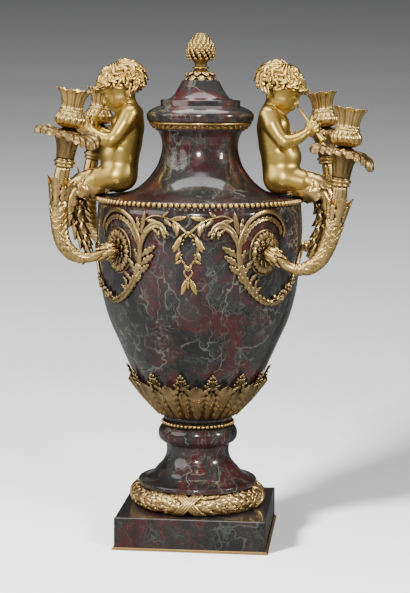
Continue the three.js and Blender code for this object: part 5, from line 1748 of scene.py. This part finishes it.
def child_hair():
    """A cap of wavy strands combed from the crown, with locks over its lower edge and a curled fringe."""
    crown, cap = np.array([-4.0, 0, 2.5]), np.array([27.2, 25.0, 23.4])
    size = cap.mean()

    def on_cap(polar, around, lift):
        spot = round_sheet(np.sin(polar), around, np.cos(polar))
        return HEAD + (spot * (cap + lift[..., None]) + crown) * HEAD_SIZE @ HEAD_AXES

    down = np.linspace(0, 1, 58)[:, None]
    around = np.arange(160)[None, :] / 160 * TURN
    hairline = 1.72 - 0.5 * np.cos(around) + 0.06 * np.sin(7 * around)
    polar = down * hairline
    bend = around + 0.2 * np.sin(5.2 * polar + 1.5 * np.sin(2 * around)) + 0.25 * polar
    strand = np.abs(np.cos(10 * bend + 0.8 * np.sin(6 * polar))) ** 0.7
    tier = np.abs(np.sin(4.1 * polar + 0.9 * np.sin(3 * around + 1)))
    lift = ramp(polar, 0.05, 0.5) * (2.2 * strand + 1.5 * tier + 0.7 * np.cos(20 * bend)) + 0.6
    lift = lift * (1 - ramp(down, 0.93, 1) * 0.8)
    cover = on_cap(polar, around, lift)
    middle = HEAD + crown @ HEAD_AXES
    cast = Cast()
    under = [middle + 0.6 * (cover[-1:] - middle), 0 * cover[:1] + middle]
    cast.shell([np.concatenate([cover, *under])], 0, (False, True))

    def lock(length, width, curl, **shape):
        return leaf(length, width, rise=2.2, curl=curl, full=0.5, veins=1, **shape)

    rng = np.random.default_rng(3)
    for start, count, length, curl, high in (
        (1.6, 22, 19, 1.3, 0.4), (1.25, 17, 20, 0.9, 1.6), (0.8, 11, 20, 0.6, 2.2)
    ):
        for i in range(count):
            turn = (i + rng.uniform(-0.25, 0.25)) / count * TURN
            facing = math.cos(turn)
            if (facing > 0.6 and start > 0.9) or (facing > 0.15 and start > 1.4):
                continue
            sweep = 0.5 * math.sin(3 * turn + start) + rng.uniform(-0.25, 0.25)
            long = length * rng.uniform(0.85, 1.2)
            begin = start + rng.uniform(-0.12, 0.12)
            width, twist = rng.uniform(8, 10.5), curl * rng.uniform(0.6, 1.3)
            blade = lock(long, width, twist, thick=1.0, cup=-1.6, fine=(15, 9), root=0.6)

            def place(p):
                run = p[..., 1] / long
                low = begin + p[..., 1] / size
                wave = sweep * run**2 * 0.5 + 0.12 * np.sin(7 * run + 2 * turn)
                spin = turn + (wave + p[..., 0] / size) / np.maximum(np.sin(low), 0.45)
                return on_cap(low, spin, p[..., 2] + high)

            set_leaf(cast, blade, place)
    for i in range(13):
        side = (i - 6) / 6
        root = np.array([23 - 10.5 * side**2, 22.5 * side, 14.5 - 6 * abs(side)])
        length = 15 * rng.uniform(0.85, 1.15)
        blade = lock(length, 9.5, 2.5, thick=1.1, cup=-1.2, fine=(14, 9), root=0.7)
        aim = np.array([0.4, 0.5 * side + rng.uniform(-0.5, 0.5), -0.95])
        on_brow = stand(root, aim, (0.9, 0.5 * side, 0.45))
        set_leaf(cast, blade, lambda p: HEAD + on_brow(p) * HEAD_SIZE @ HEAD_AXES)
    return cast


def child_tail():
    """The acanthus skirt over the thighs, and the leafy tail that hangs from it down to the body's mounts."""
    cast = Cast()
    line = [(126, 0, 497), (152.8, 0, 493), (169, 0, 482), (174, 0, 461), (169.5, 0, 434)]
    path = Path(line + [(161, 0, 411), (154, 0, 393)])
    core = lambda s: np.interp(s, [0, 0.25, 0.42, 0.6, 0.8, 1], [14, 12, 9, 5.5, 4.2, 3])

    def stem(share, angle):
        ridges = 1 - 0.12 * np.abs(np.sin(4 * angle + 20 * share))
        return core(share) * (1 + 0.25 * np.abs(np.cos(angle))) * ridges

    # The stem takes the second, darkened gilding, which paints the shade under its leaves.
    tube(cast, path, stem, 24, 1, 60)

    def blade_on(share, turn, length, width, lobes, curl, lift, rise, aim=0.0):
        fine = (max(12, lobes * 5 + 3), 9)
        blade = leaf(length, width, lobes, 0.5, rise, 0.8, curl, fine=fine, root=0.55, veins=1)
        set_leaf(cast, blade, path_place(path, core, share, turn, aim, lift, 3, 0.35))

    for turn, length, width, start, lift in (
        (0.5 * math.pi, 46, 27, 0.0, 5.5),
        (0.14 * math.pi, 50, 29, 0.02, 6.5),
        (0.86 * math.pi, 50, 29, 0.02, 6.5),
        (-0.2 * math.pi, 40, 24, 0.05, 5.5),
        (1.2 * math.pi, 40, 24, 0.05, 5.5),
    ):
        blade_on(start, turn, length, width, 4, 0.45, lift, 2.4)
    for start, count, length, width, lift, curl in (
        (0.26, 5, 44, 20, 2.6, 0.5),
        (0.40, 4, 42, 18, 1.6, 0.55),
        (0.55, 4, 38, 16, 1.0, 0.5),
        (0.70, 4, 32, 13, 0.8, 0.45),
        (0.83, 3, 24, 11, 0.5, 0.3),
    ):
        for i in range(count):
            turn = (i + 0.5 * (int(start * 100) % 3 > 0)) / count * TURN
            blade_on(start, turn, length, width, 3, curl, lift, 1.8, 0.12 * (-1) ** i)
    rng = np.random.default_rng(8)
    for share, turn, spread in (
        (0.5, 0.3, 4), (0.5, math.pi - 0.3, 4), (0.66, -0.3, 3), (0.66, math.pi + 0.3, 3), (0.85, 1.2, 3)
    ):
        for _ in range(4):
            s, a = share + rng.uniform(-0.03, 0.03), turn + rng.uniform(-0.45, 0.45)
            reach = core(s) + spread + rng.uniform(-1, 2)
            beads(cast, path.at(*np.array([[s], [a], [reach]])), rng.uniform(2, 2.7))
    for side in (-1, 1):
        for x, z, aim_x, aim_z, length, width in (
            (131, 513, 0.45, -0.9, 34, 19),
            (141, 511, 0.65, -0.75, 40, 20),
            (124, 506, 0.15, -1.0, 27, 15),
        ):
            bend = {"rise": 2.2, "thick": 0.8, "curl": -0.3}
            blade = leaf(length, width, 4, 0.5, **bend, fine=(25, 11), root=0.55, veins=1)
            origin = (x, side * 20, z)
            set_leaf(cast, blade, stand(origin, (aim_x, side * 0.12, aim_z), (0.25, side, 0.3)))
    return cast


PIPE = [(133.9, 3.8, 600.9), (145.9, 13.5, 585.7), (157.8, 23.3, 570.6), (169.6, 32.9, 555.7)]


def child_pipe(side):
    """One pipe, from the mouth to its bell."""
    cast = Cast()
    line = np.array(PIPE) * [1, side, 1]
    size = lambda s, a: np.interp(s, [0, 0.03, 0.1, 0.8, 0.93, 0.98, 1], [1.3, 1.6, 1.5, 2.0, 2.8, 4.4, 4.4])
    tube(cast, Path(line, 80, (0, 1, 0)), size, 16)
    return cast


class VASE_OT_children(bpy.types.Operator):
    """Make the two seated children with their pipes and leafy tails"""

    bl_idname = "vase.children"
    bl_label = "Children"

    def execute(self, context):
        for name, cast, finishes in (
            ("skin", child_skin(), ["Gilt burnished"]),
            ("hair", child_hair(), ["Gilt curls"]),
            ("tail", child_tail(), ["Gilt chased", "Gilt painted recess shade"]),
        ):
            for side, made in (("right", cast), ("left", cast.mirrored())):
                nodes = [f"child_{side}"] if name == "skin" else ()
                made.piece(f"child_{name}_{side}", finishes, nodes)
        for row, y in (("front", -1), ("back", 1)):
            pipe = child_pipe(y)
            pipe.piece(f"pipe_bronze_right_{row}", ["Gilt burnished"], [f"pipe_right_{row}"])
            pipe.mirrored().piece(f"pipe_bronze_left_{row}", ["Gilt burnished"], [f"pipe_left_{row}"])
        return {"FINISHED"}


# The add-on itself

STEPS = (
    VASE_OT_materials,
    VASE_OT_stage,
    VASE_OT_plinth,
    VASE_OT_foot,
    VASE_OT_body,
    VASE_OT_neck,
    VASE_OT_lid,
    VASE_OT_finial,
    VASE_OT_shoulder_beads,
    VASE_OT_leaf_cup,
    VASE_OT_scrolls,
    VASE_OT_rosettes,
    VASE_OT_pendants,
    VASE_OT_branches,
    VASE_OT_children,
)


class VASE_PT_panel(bpy.types.Panel):
    """Sizes, colours and steps of the vase"""

    bl_idname = "VASE_PT_panel"
    bl_label = "Marble lidded vase"
    bl_space_type = "VIEW_3D"
    bl_region_type = "UI"
    bl_category = "Vase"

    def draw(self, context):
        for group in (context.scene.vase_sizes, context.scene.vase_looks):
            column = self.layout.column()
            for name in group.__annotations__:
                column.prop(group, name)
        for step in STEPS:
            self.layout.operator(step.bl_idname)


CLASSES = (VaseSizes, VaseLooks, *STEPS, VASE_PT_panel)


def register():
    for made in CLASSES:
        bpy.utils.register_class(made)
    bpy.types.Scene.vase_sizes = PointerProperty(type=VaseSizes)
    bpy.types.Scene.vase_looks = PointerProperty(type=VaseLooks)


def unregister():
    del bpy.types.Scene.vase_looks
    del bpy.types.Scene.vase_sizes
    for made in reversed(CLASSES):
        bpy.utils.unregister_class(made)


def main():
    register()
    for step in STEPS:
        group, name = step.bl_idname.split(".")
        if getattr(getattr(bpy.ops, group), name)() != {"FINISHED"}:
            raise RuntimeError(f"{step.bl_label} was not finished")
    visual_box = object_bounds()
    plain = lambda box: [[float(c) for c in corner] for corner in box]
    {"cad": plain(cad_box), "visual": plain(visual_box)}


if __name__ == "__main__":
    main()
